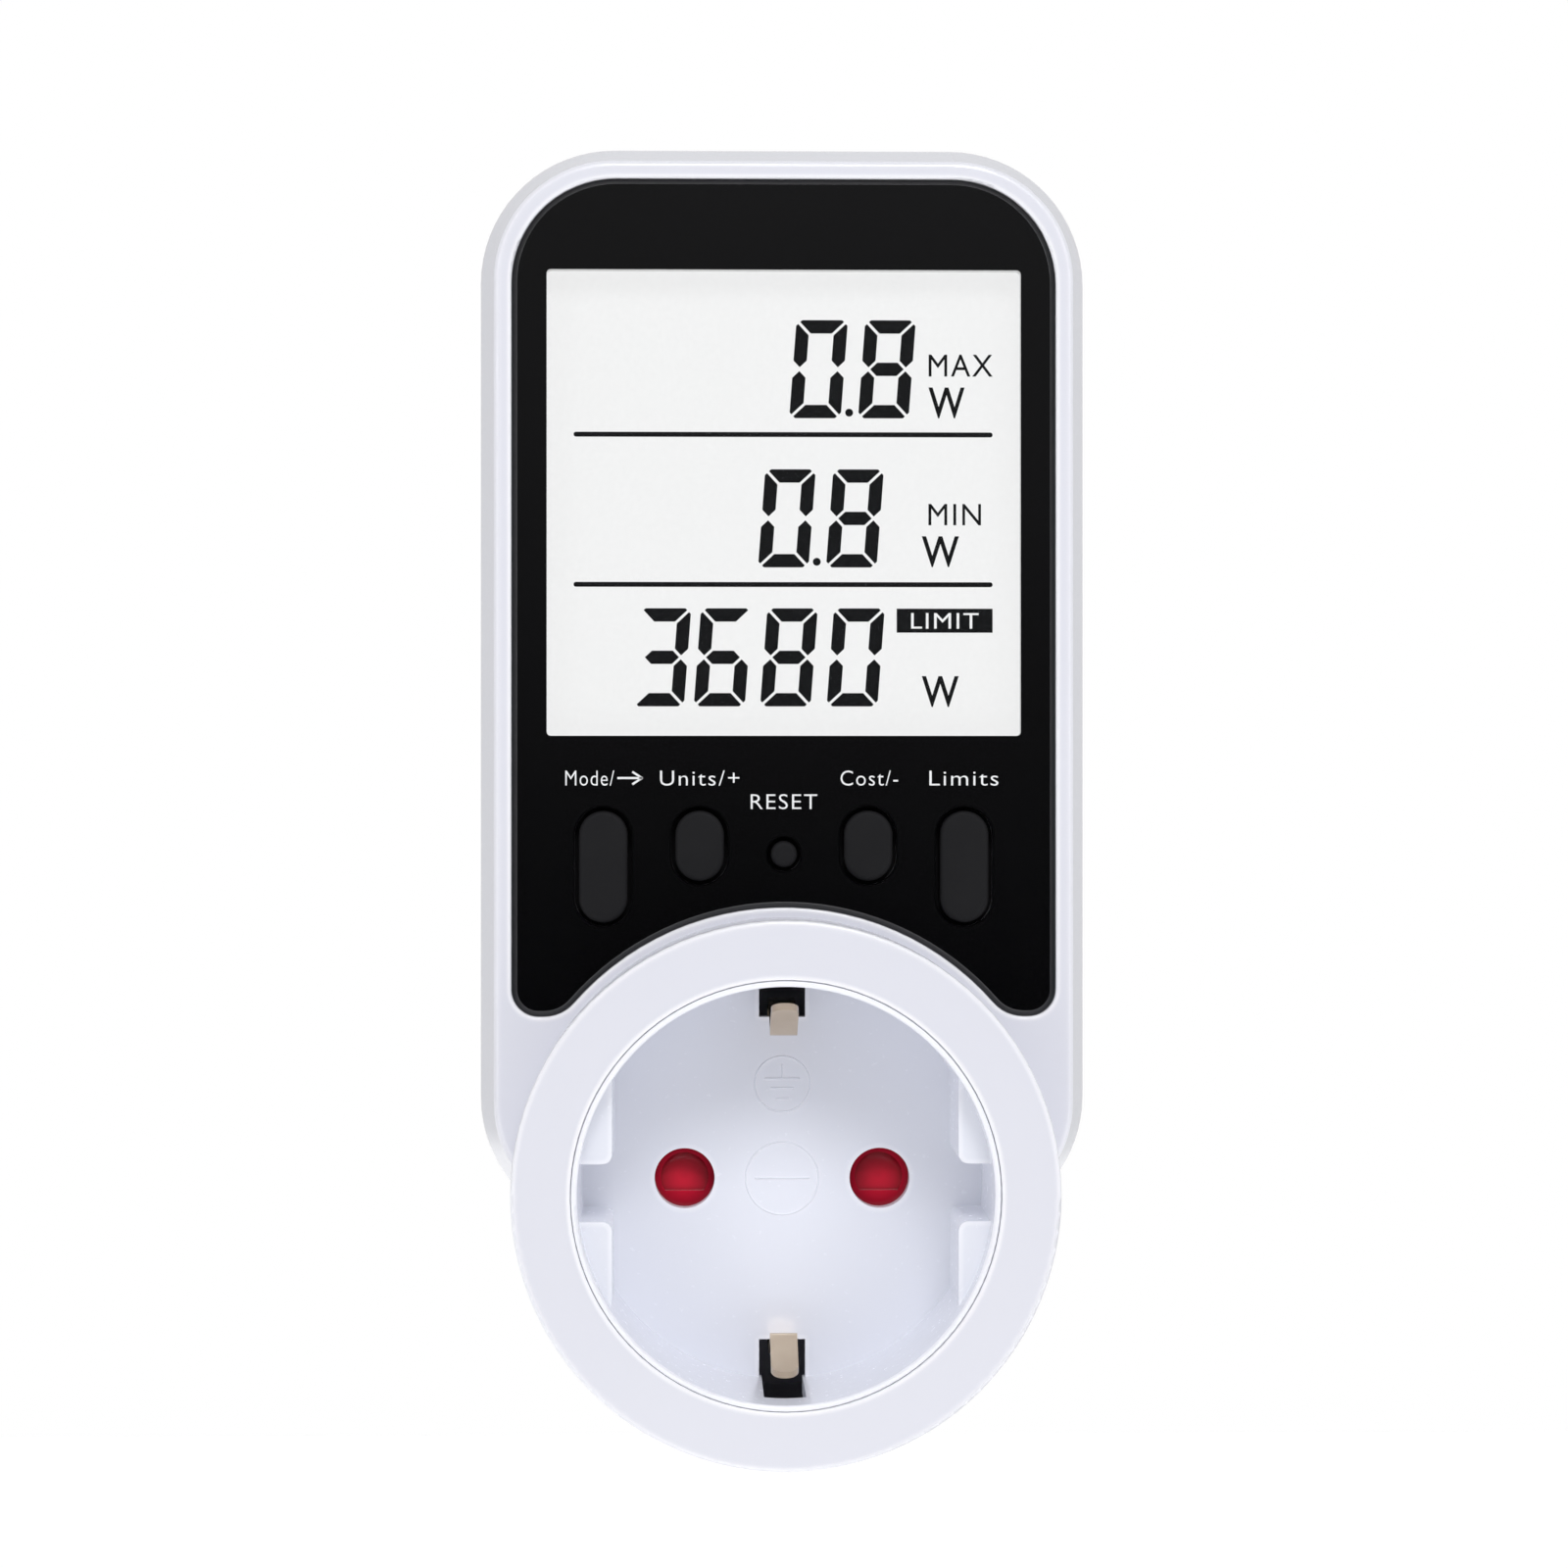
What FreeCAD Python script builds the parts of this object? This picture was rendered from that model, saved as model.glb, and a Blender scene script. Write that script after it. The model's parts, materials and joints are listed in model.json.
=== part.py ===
import FreeCAD, Part
import math
import os

# Plug-in power meter: an earthed two-pin plug at the back, an earthed outlet in a round collar at
# the front, and above it a display with its keys.
#
# Frame, in millimetres: +Z is up, the front faces -Y, and the origin is where the shared axis of
# plug and outlet crosses the flat back of the housing. "Depth" below is the distance forwards from
# that back, so the plug lies at negative depths. Each piece is one STEP file in parts/.

# ---- outlet: the sizes that a plug meets -------------------------------------------------------
CAVITY_RADIUS = 19.5
CAVITY_DEPTH = 17.5
PIN_SPACING = 19.0
PIN_HOLE_RADIUS = 2.93
GUIDE_REACH = 3.2           # how far the guide blocks stand in from the cavity's wall
GUIDE_NOTCH = 5.44          # gap between the upper and lower block
GUIDE_BELOW_RIM = 3.4
GUIDE_ROUND = 0.9
CLIP_PRESS = 5.3            # how far the earth clips' crests stand in from the cavity's wall
CLIP_TIP_IN = 2.1
CLIP_TIP_BELOW_RIM = 5.2
CLIP_CREST_BELOW_RIM = 11.4
CLIP_WIDTH = 2.6
CLIP_THICKNESS = 0.7
SLOT_WIDTH = 4.5
SLOT_LENGTH = 3.8
WALL_SLOT_WIDTH = 4.0
WALL_SLOT_BELOW_RIM = 4.7
CUP_WALL = 1.8
CUP_FLOOR = 2.0
LIP_WALL = 0.55
LIP_FILLET = 0.3

# ---- housing -----------------------------------------------------------------------------------
BODY_SIDE = 3.6             # how much further out the body's side is than the collar
BODY_TOP = 100.0            # above the outlet's axis
BODY_BOTTOM = -5.0          # hidden behind the collar
CORNER_RADIUS = 13.0
COLLAR_ROOM = 4.2           # from the cavity's wall to the inside of the collar
SPLIT_DEPTH = 27.0          # where the two shells meet
FRONT_HEIGHT = 7.5          # from there to the front face
COLLAR_HEIGHT = 9.5         # from the front face to the collar's rim
BAND_DRAFT = 1.70            # how far the front shell's side leans in
TOP_DRAFT = 0.5             # how much further the top leans in than the sides
SHELL_WALL = 2.0
FACE_WALL = 2.6
RIM_WALL = 2.0
BACK_WALL = 2.0
FACE_FILLET = 0.6
RIM_FILLET = 0.35
BACK_FILLET = 1.6
SEAM_GAP = 0.25             # shadow gap between the shells
TONGUE_INSET = 1.1
TONGUE_HEIGHT = 1.6
RING_WALL = 1.2             # locating ring round the cup
RING_HEIGHT = 3.0
FIT = 0.05                  # clearance of a locating fit
PLAY = 0.2                  # clearance between loose neighbours
LIP_GAP = 0.08              # between the cup's lip and the collar

# ---- display panel, window and keys ------------------------------------------------------------
PANEL_MARGIN = 3.3          # from the body's side to the panel
PANEL_HEADROOM = 3.8        # from the body's top to the panel
LOBE_FLAT = 0.5             # straight foot of each lobe beside the collar
PANEL_CORNER = 10.0
PANEL_LOBE = 2.6            # outer rounding of each lower lobe
PANEL_HIP = 3.8             # inner rounding of each lower lobe
COLLAR_CLEAR = 0.9          # between the collar and the panel's round cut-out
PANEL_THICKNESS = 1.5
PANEL_SINK = 0.1            # panel face below the shell's face
RECESS_ROUND = 0.25         # rounding of the shell's edge round the panel
PANEL_BEVEL = 0.5
HOLE_BEVEL = 0.15
WINDOW_MARGIN = 3.36        # from the panel's side to the window
WINDOW_HEADROOM = 8.7       # from the panel's top to the window
WINDOW_ABOVE_KEYS = 12.5    # from the outer keys' centres to the window
WINDOW_CORNER = 0.4
KEY_OUTER_X = 17.25
KEY_INNER_X = 8.05
KEY_OUTER_RISE = 4.8        # key centres above the top of the collar
KEY_INNER_RISE = 6.8
RESET_RISE = 6.0
KEY_WIDTH = 4.65
KEY_LONG = 10.66
KEY_SHORT = 6.7
RESET_DIAMETER = 2.5
KEY_GAP = 0.42
KEY_PROUD = 0.15            # key face above the panel's face
KEY_TRAVEL = 0.5
KEY_FLANGE = 0.9            # the collar that keeps a key behind the face
KEY_STEM_RADIUS = 1.6

# ---- display stack and boards ------------------------------------------------------------------
GLASS_MARGIN = 1.76         # glass beyond the window, all round
GLASS_THICKNESS = 2.0
GUIDE_THICKNESS = 2.4
HOLDER_WALL = 1.2
CONNECTOR_HEIGHT = 1.9      # from the light guide to the control board
CONNECTOR_WIDTH = 2.2
BOARD_THICKNESS = 1.6
BOARD_MARGIN = 1.3          # from the shell's inside to the control board
BOARD_DRAFT_ROOM = 1.2      # kept free between the leaning side wall and the screw posts
BOARD_HEADROOM = 2.0
BOARD_CORNER = 9.0
BOARD_DROP = 5.7            # how far the control board reaches below the collar's top
SWITCH_SIZE = 6.0
SWITCH_HEIGHT = 3.2
PLUNGER_RADIUS = 1.7
PLUNGER_DEPTH = 0.7         # length of the plunger inside its switch
POWER_BOARD_BACK = 3.9
POWER_BOARD_HALF_WIDTH = 22.0
POWER_BOARD_HEIGHT = 46.0

# ---- behind the outlet -------------------------------------------------------------------------
SHUTTER_THICKNESS = 2.6
SHUTTER_MARGIN = 1.07       # shutter beyond the pin holes' sides
SHUTTER_FOOT = 1.67         # shutter below the pin holes
SHUTTER_OVERLAP = 0.34      # travel beyond the pin hole's diameter
DISH_LAND = 0.6             # flat ring between a dish and the edge of its pin hole
DISH_FOOT = 1.4             # from the pin hole's middle down to the foot of the dish
DISH_STEP = 0.5             # depth of the dish at its foot
DISH_DEPTH = 1.6            # depth of the dish at its top, where its floor slopes down to
COVER_THICKNESS = 1.5
COVER_RAIL = 0.35
PILLAR_RADIUS = 1.9
SPRING_LENGTH = 9.0
SPRING_RADIUS = 1.0
SPRING_WIRE = 0.2
SPRING_TURNS = 7
STRIP = 0.8                 # thickness of the contact and earth strips
PINCH = 0.05                # how much closer than a pin the contact leaves stand
CONTACT_HEIGHT = 6.0
CONTACT_FLARE = 0.7
CARRIER_BACK = 5.0
CARRIER_HALF_HEIGHT = 12.5
CARRIER_WALL = 1.75
EAR_THICKNESS = 3.0
LEAD_RADIUS = 0.8

# ---- plug --------------------------------------------------------------------------------------
PIN_RADIUS = 2.4
PIN_LENGTH = 19.0
PIN_NECK_RADIUS = 2.2       # where the pin passes through the plug's face
PIN_TIP_ROUND = 1.9
BOSS_LENGTH = 17.0
BOSS_WALL = 2.0
PLUG_CLEAR = 0.3            # how much smaller the plug is than the outlet's cavity
SHANK_RADIUS = 2.0
SHANK_FLAT_END = -10.4
SHANK_FLAT = 1.4
SHANK_END = 4.0             # how near the shank comes to the housing's back
FLANGE_RADIUS = 3.5
FLANGE_HEIGHT = 1.6
CLAMP_THICKNESS = 1.6
EARTH_STRAP_WIDTH = 5.0
PLUG_FLAT_HEIGHT = 25.0
PLUG_NOTCH = 2.3            # depth of the notch between the upper and lower flat
BOSS_STEP = 2.0             # full round at the foot of the plug
EARTH_STRAP_DEPTH = -2.0    # front of the plug's earth strap
EARTH_PRESS = 2.4           # how far the plug's earth face pushes the outlet's clips out

# ---- fasteners ---------------------------------------------------------------------------------
CASE_SCREW = 1.3
CASE_HEAD = 2.3
BOARD_SCREW = 1.0
BOARD_HEAD = 1.8
POST_WALL = 1.1
CASE_SCREW_LENGTH = 9.5
CONTROL_SCREW_LENGTH = 6.0
POWER_SCREW_LENGTH = 3.6
COVER_SCREW_LENGTH = 4.0
CARRIER_SCREW_LENGTH = 6.4
PLUG_SCREW_LENGTH = 4.0
CASE_HEAD_SINK = 6.0        # screw heads sit this far behind the split
UPPER_POST_OUT = 5.7        # upper case posts, from the centre of the corner rounding
UPPER_POST_UP = 6.1
LOWER_POST_GAP = 0.43       # lower case posts, from the cup's wall
LOWER_POST_ANGLE = 12
BOARD_POST_RISE = 3.0       # lower board posts, above the outer keys' centres
UPPER_BOARD_POST_X = 12.0
UPPER_BOARD_POST_DROP = 1.8
POWER_POST_INSET = 3.0
COVER_SCREW_Z = 8.5
EAR_ANGLES = (-32, 148)     # the two ears that hold the contact carrier
CLAMP_SCREW_Z = 3.4

# ---- places worked out from the sizes above ----------------------------------------------------
COLLAR_RADIUS = CAVITY_RADIUS + COLLAR_ROOM + SHELL_WALL
HALF_WIDTH = COLLAR_RADIUS + BODY_SIDE
CUP_RADIUS = CAVITY_RADIUS + CUP_WALL
CUP_LIP_RADIUS = CAVITY_RADIUS + LIP_WALL
GUIDE_X = CAVITY_RADIUS - GUIDE_REACH
CLIP_CREST = CAVITY_RADIUS - CLIP_PRESS
CLIP_TIP = CAVITY_RADIUS - CLIP_TIP_IN
SLOT_INNER = CAVITY_RADIUS - SLOT_LENGTH
FACE_DEPTH = SPLIT_DEPTH + FRONT_HEIGHT
RIM_DEPTH = FACE_DEPTH + COLLAR_HEIGHT
PIN_X = PIN_SPACING / 2
CUP_FLOOR_DEPTH = RIM_DEPTH - CAVITY_DEPTH
CUP_BACK = CUP_FLOOR_DEPTH - CUP_FLOOR
RIM_UNDER = RIM_DEPTH - RIM_WALL
FACE_UNDER = FACE_DEPTH - FACE_WALL
PANEL_HALF_WIDTH = HALF_WIDTH - PANEL_MARGIN
PANEL_TOP = BODY_TOP - PANEL_HEADROOM
PANEL_FRONT = FACE_DEPTH - PANEL_SINK
PANEL_BACK = PANEL_FRONT - PANEL_THICKNESS
WINDOW_HALF_WIDTH = PANEL_HALF_WIDTH - WINDOW_MARGIN
WINDOW_HIGH = PANEL_TOP - WINDOW_HEADROOM
KEY_OUTER_Z = COLLAR_RADIUS + KEY_OUTER_RISE
WINDOW_LOW = KEY_OUTER_Z + WINDOW_ABOVE_KEYS
GLASS_HALF_WIDTH = WINDOW_HALF_WIDTH + GLASS_MARGIN
GLASS_LOW = WINDOW_LOW - GLASS_MARGIN
GLASS_HIGH = WINDOW_HIGH + GLASS_MARGIN
GLASS_FRONT = FACE_UNDER - PLAY
GLASS_BACK = GLASS_FRONT - GLASS_THICKNESS
GUIDE_BACK = GLASS_BACK - GUIDE_THICKNESS
BOARD_DEPTH = GUIDE_BACK - CONNECTOR_HEIGHT
BOARD_BACK = BOARD_DEPTH - BOARD_THICKNESS
BOARD_HALF_WIDTH = HALF_WIDTH - SHELL_WALL - BOARD_MARGIN
BOARD_LOW = COLLAR_RADIUS - BOARD_DROP
BOARD_HIGH = BODY_TOP - SHELL_WALL - BOARD_HEADROOM
POWER_BOARD_FRONT = POWER_BOARD_BACK + BOARD_THICKNESS
POWER_BOARD_LOW = COLLAR_RADIUS + 1.3
POWER_BOARD_HIGH = POWER_BOARD_LOW + POWER_BOARD_HEIGHT
RIBBON_Z = POWER_BOARD_LOW + 4.0
SHUTTER_TRAVEL = 2 * PIN_HOLE_RADIUS + SHUTTER_OVERLAP
SHUTTER_HALF_WIDTH = PIN_X + PIN_HOLE_RADIUS + SHUTTER_MARGIN
SHUTTER_LOW = -PIN_HOLE_RADIUS - SHUTTER_FOOT
SHUTTER_HIGH = SHUTTER_TRAVEL + PIN_HOLE_RADIUS + SHUTTER_MARGIN
SHUTTER_FRONT = CUP_BACK - PLAY
SHUTTER_BACK = SHUTTER_FRONT - SHUTTER_THICKNESS
SPRING_LOW = SHUTTER_LOW - SPRING_LENGTH
COVER_FRONT = SHUTTER_BACK - PLAY
COVER_BACK = COVER_FRONT - COVER_THICKNESS
STRAP_DEPTH = COVER_BACK - 0.6          # front of the outlet's earth strap
CARRIER_FRONT = STRAP_DEPTH - STRIP
CONTACT_HALF_GAP = PIN_RADIUS - PINCH   # pin axis to the middle of a contact leaf
CONTACT_BASE = CARRIER_BACK + 1.2
CHAMBER_HALF_WIDTH = CONTACT_HALF_GAP + CONTACT_FLARE + STRIP / 2 + 0.3
CARRIER_HALF_WIDTH = PIN_X + CHAMBER_HALF_WIDTH + CARRIER_WALL
LEAD_DEPTH = CARRIER_BACK + 4.6
BOSS_RADIUS = CAVITY_RADIUS - PLUG_CLEAR
BOSS_FACE = -BOSS_LENGTH + BOSS_WALL    # inside of the plug's face
PLUG_FLAT_X = GUIDE_X - PLAY
PLUG_TONGUE = GUIDE_NOTCH - 2 * PLAY
EARTH_FACE = CLIP_CREST + EARTH_PRESS   # outer face of the plug's earth contacts
CASE_POST_RADIUS = CASE_HEAD + POST_WALL
FRONT_POST_RADIUS = CASE_SCREW + POST_WALL
BOARD_POST_RADIUS = BOARD_SCREW + POST_WALL
CASE_HEAD_DEPTH = SPLIT_DEPTH - CASE_HEAD_SINK

# Keys: name, x, z, width, height
KEYS = [
    ("mode", -KEY_OUTER_X, KEY_OUTER_Z, KEY_WIDTH, KEY_LONG),
    ("units", -KEY_INNER_X, COLLAR_RADIUS + KEY_INNER_RISE, KEY_WIDTH, KEY_SHORT),
    ("reset", 0.0, COLLAR_RADIUS + RESET_RISE, RESET_DIAMETER, RESET_DIAMETER),
    ("cost", KEY_INNER_X, COLLAR_RADIUS + KEY_INNER_RISE, KEY_WIDTH, KEY_SHORT),
    ("limits", KEY_OUTER_X, KEY_OUTER_Z, KEY_WIDTH, KEY_LONG),
]


def around(reach, degrees):
    """A place at a distance from the outlet's axis, at an angle above the horizontal."""
    return reach * math.cos(math.radians(degrees)), reach * math.sin(math.radians(degrees))


# The upper case posts sit in the body's round corners, the lower ones close beside the cup.
UPPER_POST = (HALF_WIDTH - CORNER_RADIUS + UPPER_POST_OUT, BODY_TOP - CORNER_RADIUS + UPPER_POST_UP)
LOWER_POST = around(CUP_RADIUS + CASE_POST_RADIUS + LOWER_POST_GAP, LOWER_POST_ANGLE)
CASE_POSTS = [(side * x, z) for side in (-1, 1) for x, z in (UPPER_POST, LOWER_POST)]
BOARD_POST_X = HALF_WIDTH - SHELL_WALL - BOARD_DRAFT_ROOM - BOARD_POST_RADIUS
BOARD_POSTS = [(side * BOARD_POST_X, KEY_OUTER_Z + BOARD_POST_RISE) for side in (-1, 1)]
BOARD_POSTS += [(side * UPPER_BOARD_POST_X, BOARD_HIGH - UPPER_BOARD_POST_DROP) for side in (-1, 1)]
POWER_POSTS = [
    (side * (POWER_BOARD_HALF_WIDTH - POWER_POST_INSET), z)
    for side in (-1, 1)
    for z in (POWER_BOARD_LOW + POWER_POST_INSET, POWER_BOARD_HIGH - POWER_POST_INSET)
]
COVER_SCREW_X = SHUTTER_HALF_WIDTH + PLAY + COVER_RAIL + PILLAR_RADIUS + 0.25
COVER_SCREWS = [(side * COVER_SCREW_X, side * COVER_SCREW_Z) for side in (1, -1)]
CARRIER_EARS = [around(BOSS_RADIUS + BOARD_POST_RADIUS + FIT, degrees) for degrees in EAR_ANGLES]
CLAMP_SCREWS = [(0.0, up * CLAMP_SCREW_Z) for up in (1, -1)]


# ---- drawing helpers ---------------------------------------------------------------------------
def at(x, depth, z):
    """A point given by its depth, the distance forwards from the flat back."""
    return FreeCAD.Vector(x, -depth, z)


FORWARD = at(0, 1, 0)


def box(x0, x1, depth0, depth1, z0, z1):
    return Part.makeBox(x1 - x0, depth1 - depth0, z1 - z0, FreeCAD.Vector(x0, -depth1, z0))


def disc(radius, depth0, depth1, x=0.0, z=0.0):
    return Part.makeCylinder(radius, depth1 - depth0, at(x, depth0, z), FORWARD)


def edges_of(points):
    """Edges through a list of corners; a corner given as (middle, end) is reached by an arc."""
    edges = []
    here = points[0]
    for step in points[1:]:
        if isinstance(step[0], tuple):
            middle, end = step
            arc = Part.Arc(at(here[0], 0, here[1]), at(middle[0], 0, middle[1]), at(end[0], 0, end[1]))
            edges.append(arc.toShape())
            here = end
        elif math.dist(here, step) > 1e-6:
            edges.append(Part.makeLine(at(here[0], 0, here[1]), at(step[0], 0, step[1])))
            here = step
    return edges


def rounded(x0, x1, z0, z1, radius):
    """A closed rectangle with round corners, drawn at depth 0."""
    nip = radius * (1 - math.sqrt(0.5))
    return Part.Wire(edges_of([
        (x0, z0 + radius),
        (x0, z1 - radius),
        ((x0 + nip, z1 - nip), (x0 + radius, z1)),
        (x1 - radius, z1),
        ((x1 - nip, z1 - nip), (x1, z1 - radius)),
        (x1, z0 + radius),
        ((x1 - nip, z0 + nip), (x1 - radius, z0)),
        (x0 + radius, z0),
        ((x0 + nip, z0 + nip), (x0, z0 + radius)),
    ]))


def prism(outline, depth0, depth1):
    face = Part.Face(outline)
    face.translate(at(0, depth0, 0))
    return face.extrude(at(0, depth1 - depth0, 0))


def slab(x0, x1, z0, z1, radius, depth0, depth1):
    return prism(rounded(x0, x1, z0, z1, radius), depth0, depth1)


def pill(x, z, width, height, depth0, depth1):
    """An upright oval with half-round ends, or a disc where width and height are equal."""
    if height - width < 1e-6:
        return disc(width / 2, depth0, depth1, x, z)
    return slab(x - width / 2, x + width / 2, z - height / 2, z + height / 2, width / 2, depth0, depth1)


def join(first, *others):
    return first.fuse(list(others)).removeSplitter() if others else first


def cut(shape, *tools):
    return shape.cut(list(tools))


def group(solids):
    return Part.makeCompound(solids)


def round_edges(shape, radius, wanted):
    chosen = [edge for edge in shape.Edges if wanted(edge)]
    return shape.makeFillet(radius, chosen)


def at_depth(edge, depth):
    return abs(edge.BoundBox.YMin + depth) < 1e-4 and abs(edge.BoundBox.YMax + depth) < 1e-4


def along(edge, axis):
    """True for an edge that runs along one axis only."""
    spans = (edge.BoundBox.XLength, edge.BoundBox.YLength, edge.BoundBox.ZLength)
    return all((span > 1e-4) == (index == "xyz".index(axis)) for index, span in enumerate(spans))


def bent_line(points, bend):
    """Straight runs and arcs of one radius through a line of 2-D points.

    Each piece is (start, middle or None, end, turn), turn being +1 for a left bend and -1 for a right one."""
    pieces = []
    here = points[0]
    for before, corner, after in zip(points, points[1:], points[2:]):
        a = [(corner[i] - before[i]) / math.dist(before, corner) for i in (0, 1)]
        b = [(after[i] - corner[i]) / math.dist(corner, after) for i in (0, 1)]
        cross = a[0] * b[1] - a[1] * b[0]
        turn = 1 if cross > 0 else -1
        angle = math.atan2(abs(cross), a[0] * b[0] + a[1] * b[1])
        reach = bend * math.tan(angle / 2)
        start = (corner[0] - a[0] * reach, corner[1] - a[1] * reach)
        end = (corner[0] + b[0] * reach, corner[1] + b[1] * reach)
        centre = (start[0] - a[1] * turn * bend, start[1] + a[0] * turn * bend)
        away = math.dist(centre, corner)
        middle = tuple(centre[i] + (corner[i] - centre[i]) / away * bend for i in (0, 1))
        pieces.append((here, None, start, 0))
        pieces.append((start, middle, end, turn, centre))
        here = end
    pieces.append((here, None, points[-1], 0))
    return pieces


def strip(points, thickness, inner_bend, place, sweep):
    """Sheet metal bent along 2-D points; place turns a 2-D point into a corner, sweep is its width."""
    sides = []
    bend = inner_bend + thickness / 2
    for side in (1, -1):
        edges = []
        for piece in bent_line(points, bend):
            start, middle, end, turn = piece[:4]
            if turn == 0:
                run = math.dist(start, end)
                shift = (-(end[1] - start[1]) / run * side * thickness / 2,
                         (end[0] - start[0]) / run * side * thickness / 2)
                corners = [(p[0] + shift[0], p[1] + shift[1]) for p in (start, end)]
                edges.append(Part.makeLine(place(*corners[0]), place(*corners[1])))
            else:
                centre = piece[4]
                scale = (bend - side * turn * thickness / 2) / bend
                p = [tuple(centre[i] + (q[i] - centre[i]) * scale for i in (0, 1))
                     for q in (start, middle, end)]
                edges.append(Part.Arc(place(*p[0]), place(*p[1]), place(*p[2])).toShape())
        sides.append(edges)
    first, second = sides
    begins = [edges[0].valueAt(edges[0].FirstParameter) for edges in sides]
    ends = [edges[-1].valueAt(edges[-1].LastParameter) for edges in sides]
    caps = [Part.makeLine(*begins), Part.makeLine(*ends)]
    outline = Part.Wire(Part.__sortEdges__(first + second + caps))
    return Part.Face(outline).extrude(sweep)


def lead(points, radius, bend, place):
    """A round lead along 2-D points."""
    edges = []
    for piece in bent_line(points, bend):
        start, middle, end = piece[:3]
        if middle is None:
            edges.append(Part.makeLine(place(*start), place(*end)))
        else:
            edges.append(Part.Arc(place(*start), place(*middle), place(*end)).toShape())
    heading = place(*points[1]).sub(place(*points[0]))
    profile = Part.Face(Part.Wire(Part.makeCircle(radius, place(*points[0]), heading)))
    return Part.Wire(edges).makePipe(profile)


def screw(x, z, seat, length, shank, head, forwards=True):
    """A pan-head screw: seat is the depth under its head; forwards is the way its shank points."""
    way = 1 if forwards else -1
    head_height = head * 0.75
    body = disc(shank, min(seat, seat + way * length), max(seat, seat + way * length), x, z)
    top = seat - way * head_height
    cap = disc(head, min(seat, top), max(seat, top), x, z)
    cap = round_edges(cap, head * 0.25, lambda edge: at_depth(edge, top) and edge.Closed)
    slot_floor = top + way * head_height * 0.55
    slots = [
        box(x - w, x + w, min(top, slot_floor) - (0.1 if way > 0 else 0),
            max(top, slot_floor) + (0 if way > 0 else 0.1), z - h, z + h)
        for w, h in ((head * 0.6, head * 0.12), (head * 0.12, head * 0.6))
    ]
    return cut(join(cap, body), *slots)


# ---- outlines shared by several pieces ---------------------------------------------------------
def shell_outline(inset, lowered=0.0):
    return rounded(-HALF_WIDTH + inset, HALF_WIDTH - inset, BODY_BOTTOM + inset, BODY_TOP - inset - lowered,
                   CORNER_RADIUS - inset)


def housing(inset, depth0, depth1):
    """The housing's whole outline, body and collar, between two depths."""
    return join(prism(shell_outline(inset), depth0, depth1), disc(COLLAR_RADIUS - inset, depth0, depth1))


def leaning(inset, depth1):
    """The body's tapering upper part, from the split forwards."""
    share = (depth1 - SPLIT_DEPTH) / (FACE_DEPTH - SPLIT_DEPTH)
    low = shell_outline(inset)
    low.translate(at(0, SPLIT_DEPTH, 0))
    high = shell_outline(inset + BAND_DRAFT * share, TOP_DRAFT * share)
    high.translate(at(0, depth1, 0))
    return Part.makeLoft([low, high], True, True)


def panel_outline(inset):
    """The display panel: straight sides, round top corners, two lobes beside a round cut-out."""
    half = PANEL_HALF_WIDTH - inset
    top = PANEL_TOP - inset
    corner = PANEL_CORNER - inset
    lobe = PANEL_LOBE - inset
    hip = PANEL_HIP - inset
    cutout = COLLAR_RADIUS + COLLAR_CLEAR + inset
    hip_x = PANEL_HALF_WIDTH - PANEL_LOBE - LOBE_FLAT
    hip_z = math.sqrt((cutout + hip) ** 2 - hip_x ** 2)
    low = hip_z - hip
    touch_x = hip_x * cutout / (cutout + hip)
    touch_z = hip_z * cutout / (cutout + hip)
    lean = (math.atan2(touch_z - hip_z, touch_x - hip_x) - math.pi / 2) / 2
    hip_middle = (hip_x + hip * math.cos(lean), hip_z + hip * math.sin(lean))
    if hip_middle[1] > hip_z:
        hip_middle = (2 * hip_x - hip_middle[0], 2 * hip_z - hip_middle[1])
    nip = corner * (1 - math.sqrt(0.5))
    lobe_nip = lobe * (1 - math.sqrt(0.5))
    return Part.Wire(edges_of([
        (-half, low + lobe),
        (-half, top - corner),
        ((-half + nip, top - nip), (-half + corner, top)),
        (half - corner, top),
        ((half - nip, top - nip), (half, top - corner)),
        (half, low + lobe),
        ((half - lobe_nip, low + lobe_nip), (half - lobe, low)),
        (hip_x, low),
        (hip_middle, (touch_x, touch_z)),
        ((0.0, cutout), (-touch_x, touch_z)),
        ((-hip_middle[0], hip_middle[1]), (-hip_x, low)),
        (-half + lobe, low),
        ((-half + lobe_nip, low + lobe_nip), (-half, low + lobe)),
    ]))


def key_holes(depth0, depth1, gap):
    return [pill(x, z, w + 2 * gap, h + 2 * gap, depth0, depth1) for name, x, z, w, h in KEYS]


def window_slab(margin, depth0, depth1):
    return slab(-WINDOW_HALF_WIDTH - margin, WINDOW_HALF_WIDTH + margin, WINDOW_LOW - margin,
                WINDOW_HIGH + margin, WINDOW_CORNER, depth0, depth1)


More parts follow.
